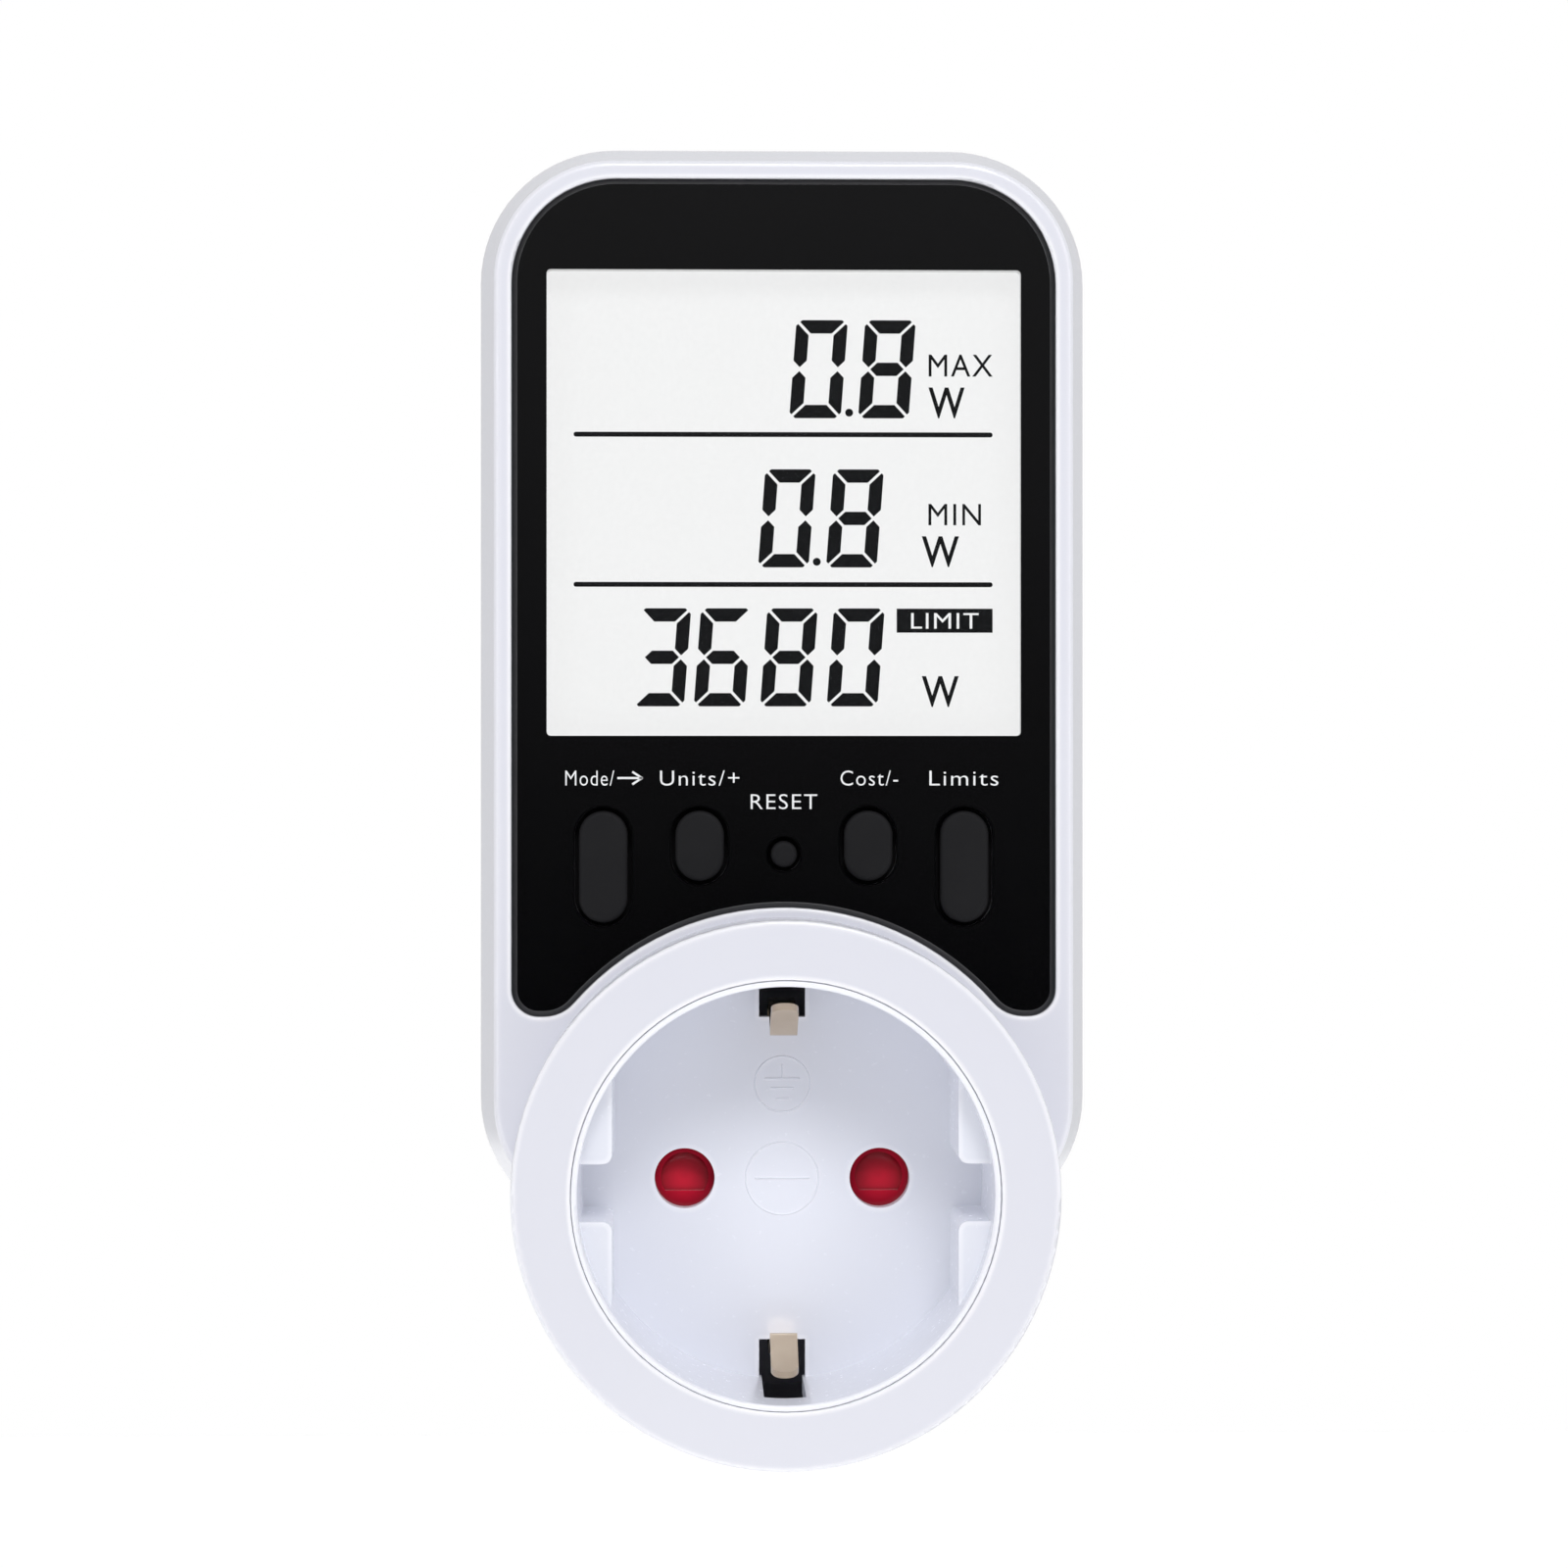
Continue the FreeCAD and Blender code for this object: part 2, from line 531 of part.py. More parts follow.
# ---- housing pieces ----------------------------------------------------------------------------
def front_shell():
    body = leaning(0, FACE_DEPTH)
    body = round_edges(body, FACE_FILLET, lambda edge: at_depth(edge, FACE_DEPTH))
    collar = disc(COLLAR_RADIUS, SPLIT_DEPTH, RIM_DEPTH)
    collar = round_edges(collar, RIM_FILLET, lambda edge: at_depth(edge, RIM_DEPTH))
    body = join(body, collar)
    inner = join(leaning(SHELL_WALL, FACE_UNDER), disc(COLLAR_RADIUS - SHELL_WALL, SPLIT_DEPTH, RIM_UNDER))
    body = cut(body, inner)
    notches = [disc(CASE_POST_RADIUS + PLAY, SPLIT_DEPTH - TONGUE_HEIGHT - 1, SPLIT_DEPTH, x, z)
               for x, z in CASE_POSTS]
    tongue = cut(housing(TONGUE_INSET, SPLIT_DEPTH - TONGUE_HEIGHT, SPLIT_DEPTH + 0.5),
                 housing(SHELL_WALL, SPLIT_DEPTH - TONGUE_HEIGHT - 1, SPLIT_DEPTH + 1), *notches)
    ring_depth = RIM_UNDER - RING_HEIGHT
    ring = cut(disc(CUP_RADIUS + PLAY + RING_WALL, ring_depth, RIM_UNDER),
               disc(CUP_RADIUS + PLAY, ring_depth - 1, RIM_UNDER))
    posts = [disc(FRONT_POST_RADIUS, SPLIT_DEPTH, FACE_UNDER + 0.2, x, z) for x, z in CASE_POSTS]
    posts += [disc(BOARD_POST_RADIUS, BOARD_DEPTH, FACE_UNDER + 0.2, x, z) for x, z in BOARD_POSTS]
    body = join(body, tongue, ring, *posts)
    holes = [disc(CASE_SCREW + FIT / 2, SPLIT_DEPTH - 1, FACE_UNDER - 0.3, x, z) for x, z in CASE_POSTS]
    holes += [disc(BOARD_SCREW + FIT / 2, BOARD_DEPTH - 1, FACE_UNDER - 0.3, x, z) for x, z in BOARD_POSTS]
    holes += key_holes(FACE_UNDER - 1, FACE_DEPTH + 1, KEY_GAP)
    recess = prism(panel_outline(0), PANEL_BACK, FACE_DEPTH + 1)
    mouth = disc(CUP_LIP_RADIUS + LIP_GAP, RIM_UNDER - 1, RIM_DEPTH + 1)
    window = window_slab(0.4, FACE_UNDER - 1, FACE_DEPTH + 1)
    body = cut(body, recess, mouth, window, *holes)
    rim = panel_outline(0)
    rim.translate(at(0, FACE_DEPTH, 0))

    def by_panel(edge):
        middle = edge.valueAt((edge.FirstParameter + edge.LastParameter) / 2)
        return at_depth(edge, FACE_DEPTH) and rim.distToShape(Part.Vertex(middle))[0] < 1e-4

    body = round_edges(body, RECESS_ROUND, by_panel)
    return round_edges(body, RIM_FILLET / 2, lambda edge: at_depth(edge, RIM_DEPTH) and edge.Length
                       < 2 * math.pi * (CUP_LIP_RADIUS + 2 * LIP_GAP))


def rear_shell():
    """The tray at the back, with the plug's boss standing out behind it."""
    depth1 = SPLIT_DEPTH - SEAM_GAP
    parts = [prism(shell_outline(0), 0, depth1), disc(COLLAR_RADIUS, 0, depth1)]
    body = join(*[round_edges(part, BACK_FILLET, lambda edge: at_depth(edge, 0)) for part in parts])
    body = cut(body, housing(SHELL_WALL, BACK_WALL, depth1 + 1))
    body = cut(body, housing(TONGUE_INSET - FIT, SPLIT_DEPTH - TONGUE_HEIGHT - PLAY, SPLIT_DEPTH))
    tube = disc(BOSS_RADIUS, -BOSS_LENGTH, 0.5)
    tube = round_edges(tube, 1.0, lambda edge: at_depth(edge, -BOSS_LENGTH))
    inside = disc(BOSS_RADIUS - BOSS_WALL, BOSS_FACE, BACK_WALL + 1)
    outer = BOSS_RADIUS + 1
    low = -BOSS_LENGTH - 1
    groove = EARTH_FACE - STRIP
    half = EARTH_STRAP_WIDTH / 2 + PLAY / 2
    shoulder = half + BOSS_WALL
    flat_half = PLUG_FLAT_HEIGHT / 2
    tools = []
    for side in (-1, 1):
        flat = PLUG_FLAT_X - BOSS_WALL
        beside = sorted((side * flat, side * outer))
        above = sorted((side * (groove - BOSS_WALL), side * outer))
        inside = cut(inside, box(*beside, BOSS_FACE, 0, -flat_half + 1, flat_half - 1),
                     box(-shoulder, shoulder, BOSS_FACE, 0, *above))
        for up in (-1, 1):
            tools.append(box(*sorted((side * PLUG_FLAT_X, side * outer)), low, -BOSS_STEP,
                             *sorted((up * PLUG_TONGUE / 2, up * flat_half))))
        tools.append(box(*sorted((side * (PLUG_FLAT_X + PLUG_NOTCH), side * outer)), low, -BOSS_STEP,
                         -PLUG_TONGUE, PLUG_TONGUE))
        tools.append(box(-half, half, low, EARTH_STRAP_DEPTH + FIT, *sorted((side * groove, side * outer))))
        tools.append(box(-half, half, EARTH_STRAP_DEPTH - STRIP - 0.3, EARTH_STRAP_DEPTH + FIT,
                         *sorted((side * (groove - BOSS_WALL - 1), side * (groove + 1)))))
    body = cut(join(body, tube), inside, *tools)
    posts = [disc(CASE_POST_RADIUS, BACK_WALL - 0.5, SPLIT_DEPTH, x, z) for x, z in CASE_POSTS]
    posts += [disc(BOARD_POST_RADIUS, BACK_WALL - 0.5, POWER_BOARD_BACK, x, z) for x, z in POWER_POSTS]
    posts += [disc(BOARD_POST_RADIUS, BACK_WALL - 0.5, CARRIER_BACK, x, z) for x, z in CARRIER_EARS]
    posts += [disc(BOARD_POST_RADIUS, BOSS_FACE - 0.5, BOSS_FACE + FLANGE_HEIGHT, x, z)
              for x, z in CLAMP_SCREWS]
    body = join(body, *posts)
    holes = [disc(CASE_HEAD + PLAY, -1, CASE_HEAD_DEPTH, x, z) for x, z in CASE_POSTS]
    holes += [disc(CASE_SCREW + PLAY, CASE_HEAD_DEPTH - 1, SPLIT_DEPTH + 1, x, z) for x, z in CASE_POSTS]
    holes += [disc(BOARD_SCREW + FIT / 2, 1.0, POWER_BOARD_BACK + 1, x, z) for x, z in POWER_POSTS]
    holes += [disc(BOARD_SCREW + FIT / 2, 1.0, CARRIER_BACK + 1, x, z) for x, z in CARRIER_EARS]
    holes += [disc(BOARD_SCREW + FIT / 2, BOSS_FACE - 1.2, BOSS_FACE + BOSS_WALL, x, z)
              for x, z in CLAMP_SCREWS]
    holes += [disc(PIN_NECK_RADIUS + FIT, -BOSS_LENGTH - 1, BOSS_FACE + 1, side * PIN_X) for side in (-1, 1)]
    return cut(body, *holes)


def display_panel():
    body = prism(panel_outline(FIT), PANEL_BACK, PANEL_FRONT)
    outer = [edge for edge in body.Edges if at_depth(edge, PANEL_FRONT)]
    body = body.makeChamfer(PANEL_BEVEL, outer)
    holes = key_holes(PANEL_BACK - 1, PANEL_FRONT + 1, KEY_GAP)
    body = cut(body, window_slab(0, PANEL_BACK - 1, PANEL_FRONT + 1), *holes)

    def key_rim(edge):
        span = edge.BoundBox
        middle = span.Center
        inside = abs(middle.x) < PANEL_HALF_WIDTH - 3 and COLLAR_RADIUS + 2 < middle.z < WINDOW_LOW - 1
        return at_depth(edge, PANEL_FRONT) and inside and max(span.XLength, span.ZLength) < KEY_LONG + 2

    return body.makeChamfer(HOLE_BEVEL, [edge for edge in body.Edges if key_rim(edge)])


def display_window():
    return window_slab(0, PANEL_BACK, PANEL_FRONT)


# ---- keys and switches -------------------------------------------------------------------------
def key_cap(x, z, width, height):
    """A key: the cap that shows, the flange that keeps it in and the stem that reaches the switch."""
    front = PANEL_FRONT + KEY_PROUD
    flange_front = FACE_UNDER - PLAY
    cap = pill(x, z, width, height, flange_front - 1.0, front)
    cap = round_edges(cap, min(0.45, width / 5), lambda edge: at_depth(edge, front))
    flange = pill(x, z, width + 2 * KEY_FLANGE, height + 2 * KEY_FLANGE, flange_front - 1.0, flange_front)
    stem = disc(min(KEY_STEM_RADIUS, width / 2), plunger_tip(), flange_front - 0.5, x, z)
    return join(cap, flange, stem)


def plunger_tip():
    return BOARD_DEPTH + SWITCH_HEIGHT + KEY_TRAVEL + 0.5


def switch_plunger(x, z):
    """The switch's own plunger, which the key's stem rests on."""
    button = disc(PLUNGER_RADIUS, BOARD_DEPTH + SWITCH_HEIGHT - PLUNGER_DEPTH, plunger_tip(), x, z)
    return round_edges(button, 0.2, lambda edge: at_depth(edge, plunger_tip()))


def key_switches():
    half = SWITCH_SIZE / 2
    bodies = []
    for name, x, z, width, height in KEYS:
        top = BOARD_DEPTH + SWITCH_HEIGHT
        body = box(x - half, x + half, BOARD_DEPTH, top, z - half, z + half)
        body = round_edges(body, 0.4, lambda edge: along(edge, "y"))
        well = disc(PLUNGER_RADIUS + FIT, top - PLUNGER_DEPTH - KEY_TRAVEL - PLAY, top + 1, x, z)
        bodies.append(cut(body, well))
    return group(bodies)


# ---- display stack -----------------------------------------------------------------------------
def lcd_glass():
    return slab(-GLASS_HALF_WIDTH, GLASS_HALF_WIDTH, GLASS_LOW, GLASS_HIGH, 0.3, GLASS_BACK, GLASS_FRONT)


def light_guide():
    return slab(-GLASS_HALF_WIDTH, GLASS_HALF_WIDTH, GLASS_LOW, GLASS_HIGH, 0.3, GUIDE_BACK, GLASS_BACK)


def lcd_holder():
    """A frame round the glass and the light guide, standing on the control board."""
    m = HOLDER_WALL
    outer = slab(-GLASS_HALF_WIDTH - m, GLASS_HALF_WIDTH + m, GLASS_LOW - m, GLASS_HIGH + m, 1.0, BOARD_DEPTH,
                 GLASS_FRONT)
    pocket = slab(-GLASS_HALF_WIDTH - FIT, GLASS_HALF_WIDTH + FIT, GLASS_LOW - FIT, GLASS_HIGH + FIT, 0.3,
                  GUIDE_BACK, GLASS_FRONT + 1)
    foot, head = connector_rise()
    well = slab(-GLASS_HALF_WIDTH + m, GLASS_HALF_WIDTH - m, head + m, GLASS_HIGH - m, 1.0, BOARD_DEPTH - 1,
                GUIDE_BACK + 0.5)
    channel = box(*connector_span(), BOARD_DEPTH - 1, GUIDE_BACK + 0.5, foot - FIT, head + FIT)
    posts = [disc(FRONT_POST_RADIUS + PLAY, BOARD_DEPTH - 1, GLASS_FRONT + 1, x, z) for x, z in CASE_POSTS]
    posts += [disc(CASE_POST_RADIUS + PLAY, BOARD_DEPTH - 1, SPLIT_DEPTH + PLAY, x, z) for x, z in CASE_POSTS]
    return cut(outer, pocket, well, channel, *posts)


def connector_span():
    return -GLASS_HALF_WIDTH + 4, GLASS_HALF_WIDTH - 4


def connector_rise():
    return GLASS_LOW + 0.4, GLASS_LOW + 0.4 + CONNECTOR_WIDTH


def connector_strip():
    """The elastomer strip that joins the glass to the board under the light guide's lower edge."""
    return box(*connector_span(), BOARD_DEPTH, GUIDE_BACK, *connector_rise())


def backlight_leds():
    z = GLASS_HIGH - HOLDER_WALL - 3.0
    places = (-GLASS_HALF_WIDTH / 2, 0.0, GLASS_HALF_WIDTH / 2)
    return group([box(x - 1.5, x + 1.5, BOARD_DEPTH, BOARD_DEPTH + 1.0, z - 0.7, z + 0.7) for x in places])


# ---- boards and what they carry ----------------------------------------------------------------
def control_board():
    half = BOARD_HALF_WIDTH
    body = slab(-half, half, BOARD_LOW, BOARD_HIGH, BOARD_CORNER, BOARD_BACK, BOARD_DEPTH)
    low = box(-half, half, BOARD_BACK, BOARD_DEPTH, BOARD_LOW, BOARD_LOW + BOARD_CORNER + 1)
    body = join(body, round_edges(low, 1.5, lambda edge: along(edge, "y")))
    posts = [disc(CASE_POST_RADIUS + 0.4, BOARD_BACK - 1, BOARD_DEPTH + 1, x, z) for x, z in CASE_POSTS]
    holes = [disc(BOARD_SCREW + PLAY, BOARD_BACK - 1, BOARD_DEPTH + 1, x, z) for x, z in BOARD_POSTS]
    return cut(body, disc(CUP_RADIUS + 2.6, BOARD_BACK - 1, BOARD_DEPTH + 1), *posts, *holes)


def leaded_chip(x, z, size, height, leads, surface, way):
    """A flat chip with leads on all four sides; way is +1 where it stands forwards of the board."""
    def flat(x0, x1, rise0, rise1, z0, z1):
        return box(x0, x1, *sorted((surface + way * rise0, surface + way * rise1)), z0, z1)
    half = size / 2
    body = flat(x - half, x + half, 0.15, height, z - half, z + half)
    pitch = (size - 1.6) / (leads - 1)
    feet = []
    for n in range(leads):
        along_side = -half + 0.8 + n * pitch
        for side in (-1, 1):
            feet.append(flat(*sorted((x + side * half, x + side * (half + 1.0))), 0, 0.4,
                             z + along_side - 0.2, z + along_side + 0.2))
            feet.append(flat(x + along_side - 0.2, x + along_side + 0.2, 0, 0.4,
                             *sorted((z + side * half, z + side * (half + 1.0)))))
    return join(body, *feet)


def control_chip():
    return leaded_chip(0, BOARD_LOW + 40, 11.0, 1.5, 9, BOARD_BACK, -1)


def metering_chip():
    return leaded_chip(13, POWER_BOARD_LOW + 11, 6.5, 1.5, 6, POWER_BOARD_FRONT, 1)


def backup_battery():
    """Three button cells in one sleeve, lying across the back of the control board."""
    radius, half = 5.8, 8.4
    groove_width, groove_deep = 0.4, 0.25

    def across(reach, x, length):
        place = at(x, BOARD_BACK - radius, BOARD_HIGH - 13.0)
        return Part.makeCylinder(reach, length, place, FreeCAD.Vector(1, 0, 0))

    body = round_edges(across(radius, -half, 2 * half), 0.8, lambda edge: edge.Closed)
    grooves = [
        cut(across(radius + 1, x, groove_width), across(radius - groove_deep, x, groove_width))
        for x in (-half / 3, half / 3)
    ]
    return cut(body, *grooves)


def power_board():
    body = slab(-POWER_BOARD_HALF_WIDTH, POWER_BOARD_HALF_WIDTH, POWER_BOARD_LOW, POWER_BOARD_HIGH, 1.5,
                POWER_BOARD_BACK, POWER_BOARD_FRONT)
    holes = [disc(BOARD_SCREW + PLAY, POWER_BOARD_BACK - 1, POWER_BOARD_FRONT + 1, x, z)
             for x, z in POWER_POSTS]
    return cut(body, *holes)


def film_capacitor():
    x, z = -8.0, POWER_BOARD_LOW + 34
    length, width, height = 18.0, 7.5, 13.0
    body = box(x - length / 2, x + length / 2, POWER_BOARD_FRONT, POWER_BOARD_FRONT + height, z - width / 2,
               z + width / 2)
    return round_edges(body, 0.6, lambda edge: along(edge, "y"))


def storage_capacitor():
    x, z = 9.5, POWER_BOARD_LOW + 33
    radius, neck_radius, height = 4.0, 3.6, 12.0
    top = POWER_BOARD_FRONT + height
    body = disc(radius, POWER_BOARD_FRONT, top, x, z)
    body = round_edges(body, 0.6, lambda edge: at_depth(edge, top))
    neck = cut(disc(radius + 1, top - 2.4, top - 1.8, x, z), disc(neck_radius, top - 2.4, top - 1.8, x, z))
    return cut(body, neck)


def varistor():
    x, z = -13.0, POWER_BOARD_LOW + 20
    radius, thickness = 5.0, 4.0
    foot = at(x, POWER_BOARD_FRONT + radius + 1.5, z - thickness / 2)
    body = Part.makeCylinder(radius, thickness, foot, FreeCAD.Vector(0, 0, 1))
    body = round_edges(body, 1.2, lambda edge: edge.Closed)
    legs = [disc(0.4, POWER_BOARD_FRONT, POWER_BOARD_FRONT + 3.0, x + side * 2.5, z + side * 0.6)
            for side in (-1, 1)]
    return join(body, *legs)


def fusible_resistor():
    x, z = 3.0, POWER_BOARD_LOW + 21
    depth = POWER_BOARD_FRONT + 2.6
    radius, half, reach = 1.9, 4.0, 6.0
    body = Part.makeCylinder(radius, 2 * half, at(x - half, depth, z), FreeCAD.Vector(1, 0, 0))
    body = round_edges(body, 0.5, lambda edge: edge.Closed)
    route = [(x - reach, POWER_BOARD_FRONT), (x - reach, depth), (x + reach, depth),
             (x + reach, POWER_BOARD_FRONT)]
    wire = lead(route, 0.35, 0.8, lambda u, v: at(u, v, z))
    return join(body, wire)


def ribbon_sockets():
    half, deep = 5.5, 3.6
    return group([
        cut(box(-half, half, BOARD_BACK - deep, BOARD_BACK, RIBBON_Z + 1, RIBBON_Z + 5),
            box(-half + 1, half - 1, BOARD_BACK - deep - 1, BOARD_BACK - 1.2, RIBBON_Z + 2, RIBBON_Z + 4)),
        cut(box(-half, half, POWER_BOARD_FRONT, POWER_BOARD_FRONT + deep, RIBBON_Z - 2, RIBBON_Z + 2),
            box(-half + 1, half - 1, POWER_BOARD_FRONT + 1.2, POWER_BOARD_FRONT + deep + 1, RIBBON_Z - 1,
                RIBBON_Z + 1)),
    ])


def ribbon_cable():
    """The flat lead between the two boards."""
    route = [(RIBBON_Z + 3, BOARD_BACK - 1.2), (RIBBON_Z + 3, BOARD_BACK - 6),
             (RIBBON_Z, POWER_BOARD_FRONT + 6), (RIBBON_Z, POWER_BOARD_FRONT + 1.2)]
    return strip(route, 0.9, 1.5, lambda u, v: at(-4.0, v, u), FreeCAD.Vector(8.0, 0, 0))


def supply_lead(side):
    """The lead from a line contact up to the power board."""
    x = side * PIN_X
    high = POWER_BOARD_LOW + 3.4
    route = [(CONTACT_HEIGHT / 2, LEAD_DEPTH), (high, LEAD_DEPTH), (high, POWER_BOARD_FRONT)]
    return lead(route, LEAD_RADIUS, 2.2, lambda u, v: at(x, v, u))


# ---- outlet ------------------------------------------------------------------------------------
def socket_cup():
    """The round cup that takes a plug, clamped behind the collar's rim."""
    lip = disc(CUP_LIP_RADIUS, RIM_UNDER - 0.5, RIM_DEPTH)
    lip = round_edges(lip, LIP_FILLET / 2, lambda edge: at_depth(edge, RIM_DEPTH))
    body = join(disc(CUP_RADIUS, CUP_BACK, RIM_UNDER - FIT), lip)
    cavity = disc(CAVITY_RADIUS, CUP_FLOOR_DEPTH, RIM_DEPTH + 1)
    guides = []
    for side in (-1, 1):
        for up in (-1, 1):
            guide = box(*sorted((side * GUIDE_X, side * CUP_RADIUS)), CUP_FLOOR_DEPTH - 1,
                        RIM_DEPTH - GUIDE_BELOW_RIM, *sorted((up * GUIDE_NOTCH / 2, up * CUP_RADIUS)))
            guides.append(round_edges(guide, GUIDE_ROUND, lambda edge: along(edge, "y")
                                      and abs(edge.BoundBox.XMin - side * GUIDE_X) < 1e-4
                                      and abs(edge.BoundBox.ZMin) < GUIDE_NOTCH))
    cavity = cut(cavity, *guides)
    body = cut(body, cavity)
    body = round_edges(body, LIP_FILLET, lambda edge: at_depth(edge, RIM_DEPTH)
                       and edge.BoundBox.XLength < 2 * CAVITY_RADIUS + 0.01)
    pillars = [disc(PILLAR_RADIUS, COVER_FRONT, CUP_BACK + 0.5, x, z) for x, z in COVER_SCREWS]
    body = join(body, *pillars)
    cuts = [disc(PIN_HOLE_RADIUS, CUP_BACK - 1, CUP_FLOOR_DEPTH + 1, side * PIN_X) for side in (-1, 1)]
    cuts += [disc(BOARD_SCREW + FIT / 2, COVER_FRONT - 1, CUP_BACK + 1.0, x, z) for x, z in COVER_SCREWS]
    for up in (-1, 1):
        cuts.append(box(-SLOT_WIDTH / 2, SLOT_WIDTH / 2, CUP_BACK - 1, CUP_FLOOR_DEPTH + 0.01,
                        *sorted((up * SLOT_INNER, up * CAVITY_RADIUS))))
        half = WALL_SLOT_WIDTH / 2
        cuts.append(box(-half, half, CUP_BACK - 1, RIM_DEPTH - WALL_SLOT_BELOW_RIM,
                        *sorted((up * (CAVITY_RADIUS - 0.6), up * (CUP_RADIUS + 1)))))
    return cut(body, *cuts)


def shutter():
    """The sliding plate that blocks both pin holes until a plug's two pins push it down."""
    half = SHUTTER_HALF_WIDTH
    body = slab(-half, half, SHUTTER_LOW, SHUTTER_HIGH, 1.0, SHUTTER_BACK, SHUTTER_FRONT)
    reach = PIN_HOLE_RADIUS + 0.5
    cuts = []
    for side in (-1, 1):
        x = side * PIN_X
        cuts.append(disc(PIN_HOLE_RADIUS + PLAY, SHUTTER_BACK - 1, SHUTTER_FRONT + 1, x, SHUTTER_TRAVEL))
        pocket = disc(PIN_HOLE_RADIUS - DISH_LAND, SHUTTER_FRONT - DISH_DEPTH - 0.1, SHUTTER_FRONT + 1, x, 0)
        corners = [(SHUTTER_FRONT - DISH_STEP, -DISH_FOOT), (SHUTTER_FRONT + 2, -DISH_FOOT),
                   (SHUTTER_FRONT + 2, reach), (SHUTTER_FRONT - DISH_DEPTH, reach),
                   (SHUTTER_FRONT - DISH_STEP, -DISH_FOOT)]
        ramp = Part.Face(Part.makePolygon([at(x - reach, depth, z) for depth, z in corners]))
        cuts.append(pocket.common(ramp.extrude(FreeCAD.Vector(2 * reach, 0, 0))))
    return cut(body, *cuts)


def shutter_spring():
    """The small coil under the shutter that pushes it back up."""
    height = SPRING_LENGTH - 2 * SPRING_WIRE
    helix = Part.makeHelix(height / SPRING_TURNS, height, SPRING_RADIUS)
    start = FreeCAD.Vector(SPRING_RADIUS, 0, 0)
    profile = Part.Wire(Part.makeCircle(SPRING_WIRE, start, FreeCAD.Vector(0, 1, 0)))
    coil = Part.Wire(helix.Edges).makePipeShell([profile], True, True)
    coil.translate(at(0, (COVER_FRONT + CUP_BACK) / 2, SPRING_LOW + SPRING_WIRE))
    return coil


def shutter_cover():
    """The plate that holds the shutter against the cup's floor, with rails at its sides and foot."""
    reach = COVER_SCREW_X + PILLAR_RADIUS + 0.9
    plate = slab(-reach, reach, SPRING_LOW - 1.4, SHUTTER_HIGH + 4.0, 2.0, COVER_BACK, COVER_FRONT)
    plate = plate.common(disc(CUP_RADIUS - 0.7, COVER_BACK, COVER_FRONT))
    rail = SHUTTER_HALF_WIDTH + PLAY
    walls = [
        box(*sorted((side * rail, side * (rail + COVER_RAIL))), COVER_FRONT - 0.5, CUP_BACK, SPRING_LOW - 1.0,
            SHUTTER_HIGH + 2.0)
        for side in (-1, 1)
    ]
    walls.append(box(-rail, rail, COVER_FRONT - 0.5, CUP_BACK, SPRING_LOW - 1.0, SPRING_LOW))
    walls.append(box(-rail, rail, COVER_FRONT - 0.5, CUP_BACK, SHUTTER_HIGH + PLAY, SHUTTER_HIGH + 1.4))
    holes = [disc(PIN_HOLE_RADIUS + PLAY, COVER_BACK - 1, COVER_FRONT + 1, side * PIN_X) for side in (-1, 1)]
    holes += [disc(BOARD_SCREW + PLAY, COVER_BACK - 1, CUP_BACK, x, z) for x, z in COVER_SCREWS]
    return cut(join(plate, *walls), *holes)


def contact_carrier():
    """The insulating block that holds both line contacts behind the cup."""
    body = slab(-CARRIER_HALF_WIDTH, CARRIER_HALF_WIDTH, -CARRIER_HALF_HEIGHT, CARRIER_HALF_HEIGHT, 3.0,
                CARRIER_BACK, CARRIER_FRONT)
    top = CARRIER_BACK + EAR_THICKNESS
    ears = []
    for x, z in CARRIER_EARS:
        ears.append(disc(BOARD_POST_RADIUS, CARRIER_BACK, top, x, z))
        ears.append(box(*sorted((x, math.copysign(CARRIER_HALF_WIDTH - 1, x))), CARRIER_BACK, top,
                        z - BOARD_POST_RADIUS, z + BOARD_POST_RADIUS))
    body = join(body, *ears)
    low, high = CARRIER_BACK - 1, CARRIER_FRONT + 1
    half = CONTACT_HEIGHT / 2
    cuts = []
    for side in (-1, 1):
        x = side * PIN_X
        cuts.append(box(x - CHAMBER_HALF_WIDTH, x + CHAMBER_HALF_WIDTH, low, high, -half - 0.4, half + 0.4))
        cuts.append(Part.makeCylinder(LEAD_RADIUS + 0.3, CARRIER_HALF_HEIGHT, at(x, LEAD_DEPTH, half),
                                      FreeCAD.Vector(0, 0, 1)))
    cuts.append(box(-STRIP / 2 - PLAY, STRIP / 2 + PLAY, low, high, -2.3, 2.3))
    cuts += [disc(BOARD_SCREW + PLAY, low, top + 1, x, z) for x, z in CARRIER_EARS]
    return cut(body, *cuts)


def line_contact(side):
    """A sprung U that grips a plug's pin, with a tail to the plug behind."""
    x = side * PIN_X
    gap = CONTACT_HALF_GAP
    mouth = CARRIER_FRONT - 0.5
    route = [(x - gap - CONTACT_FLARE, mouth), (x - gap, mouth - 2.6), (x - gap, CONTACT_BASE),
             (x + gap, CONTACT_BASE), (x + gap, mouth - 2.6), (x + gap + CONTACT_FLARE, mouth)]
    clip = strip(route, STRIP, 0.5, lambda u, v: at(u, v, -CONTACT_HEIGHT / 2),
                 FreeCAD.Vector(0, 0, CONTACT_HEIGHT))
    tail_end = -9.0 if side > 0 else 1.0
    inner = x + side * SHANK_FLAT
    tail = box(*sorted((inner, inner + side * STRIP)), tail_end, CONTACT_BASE, -2.0, 2.0)
    return join(clip, tail)


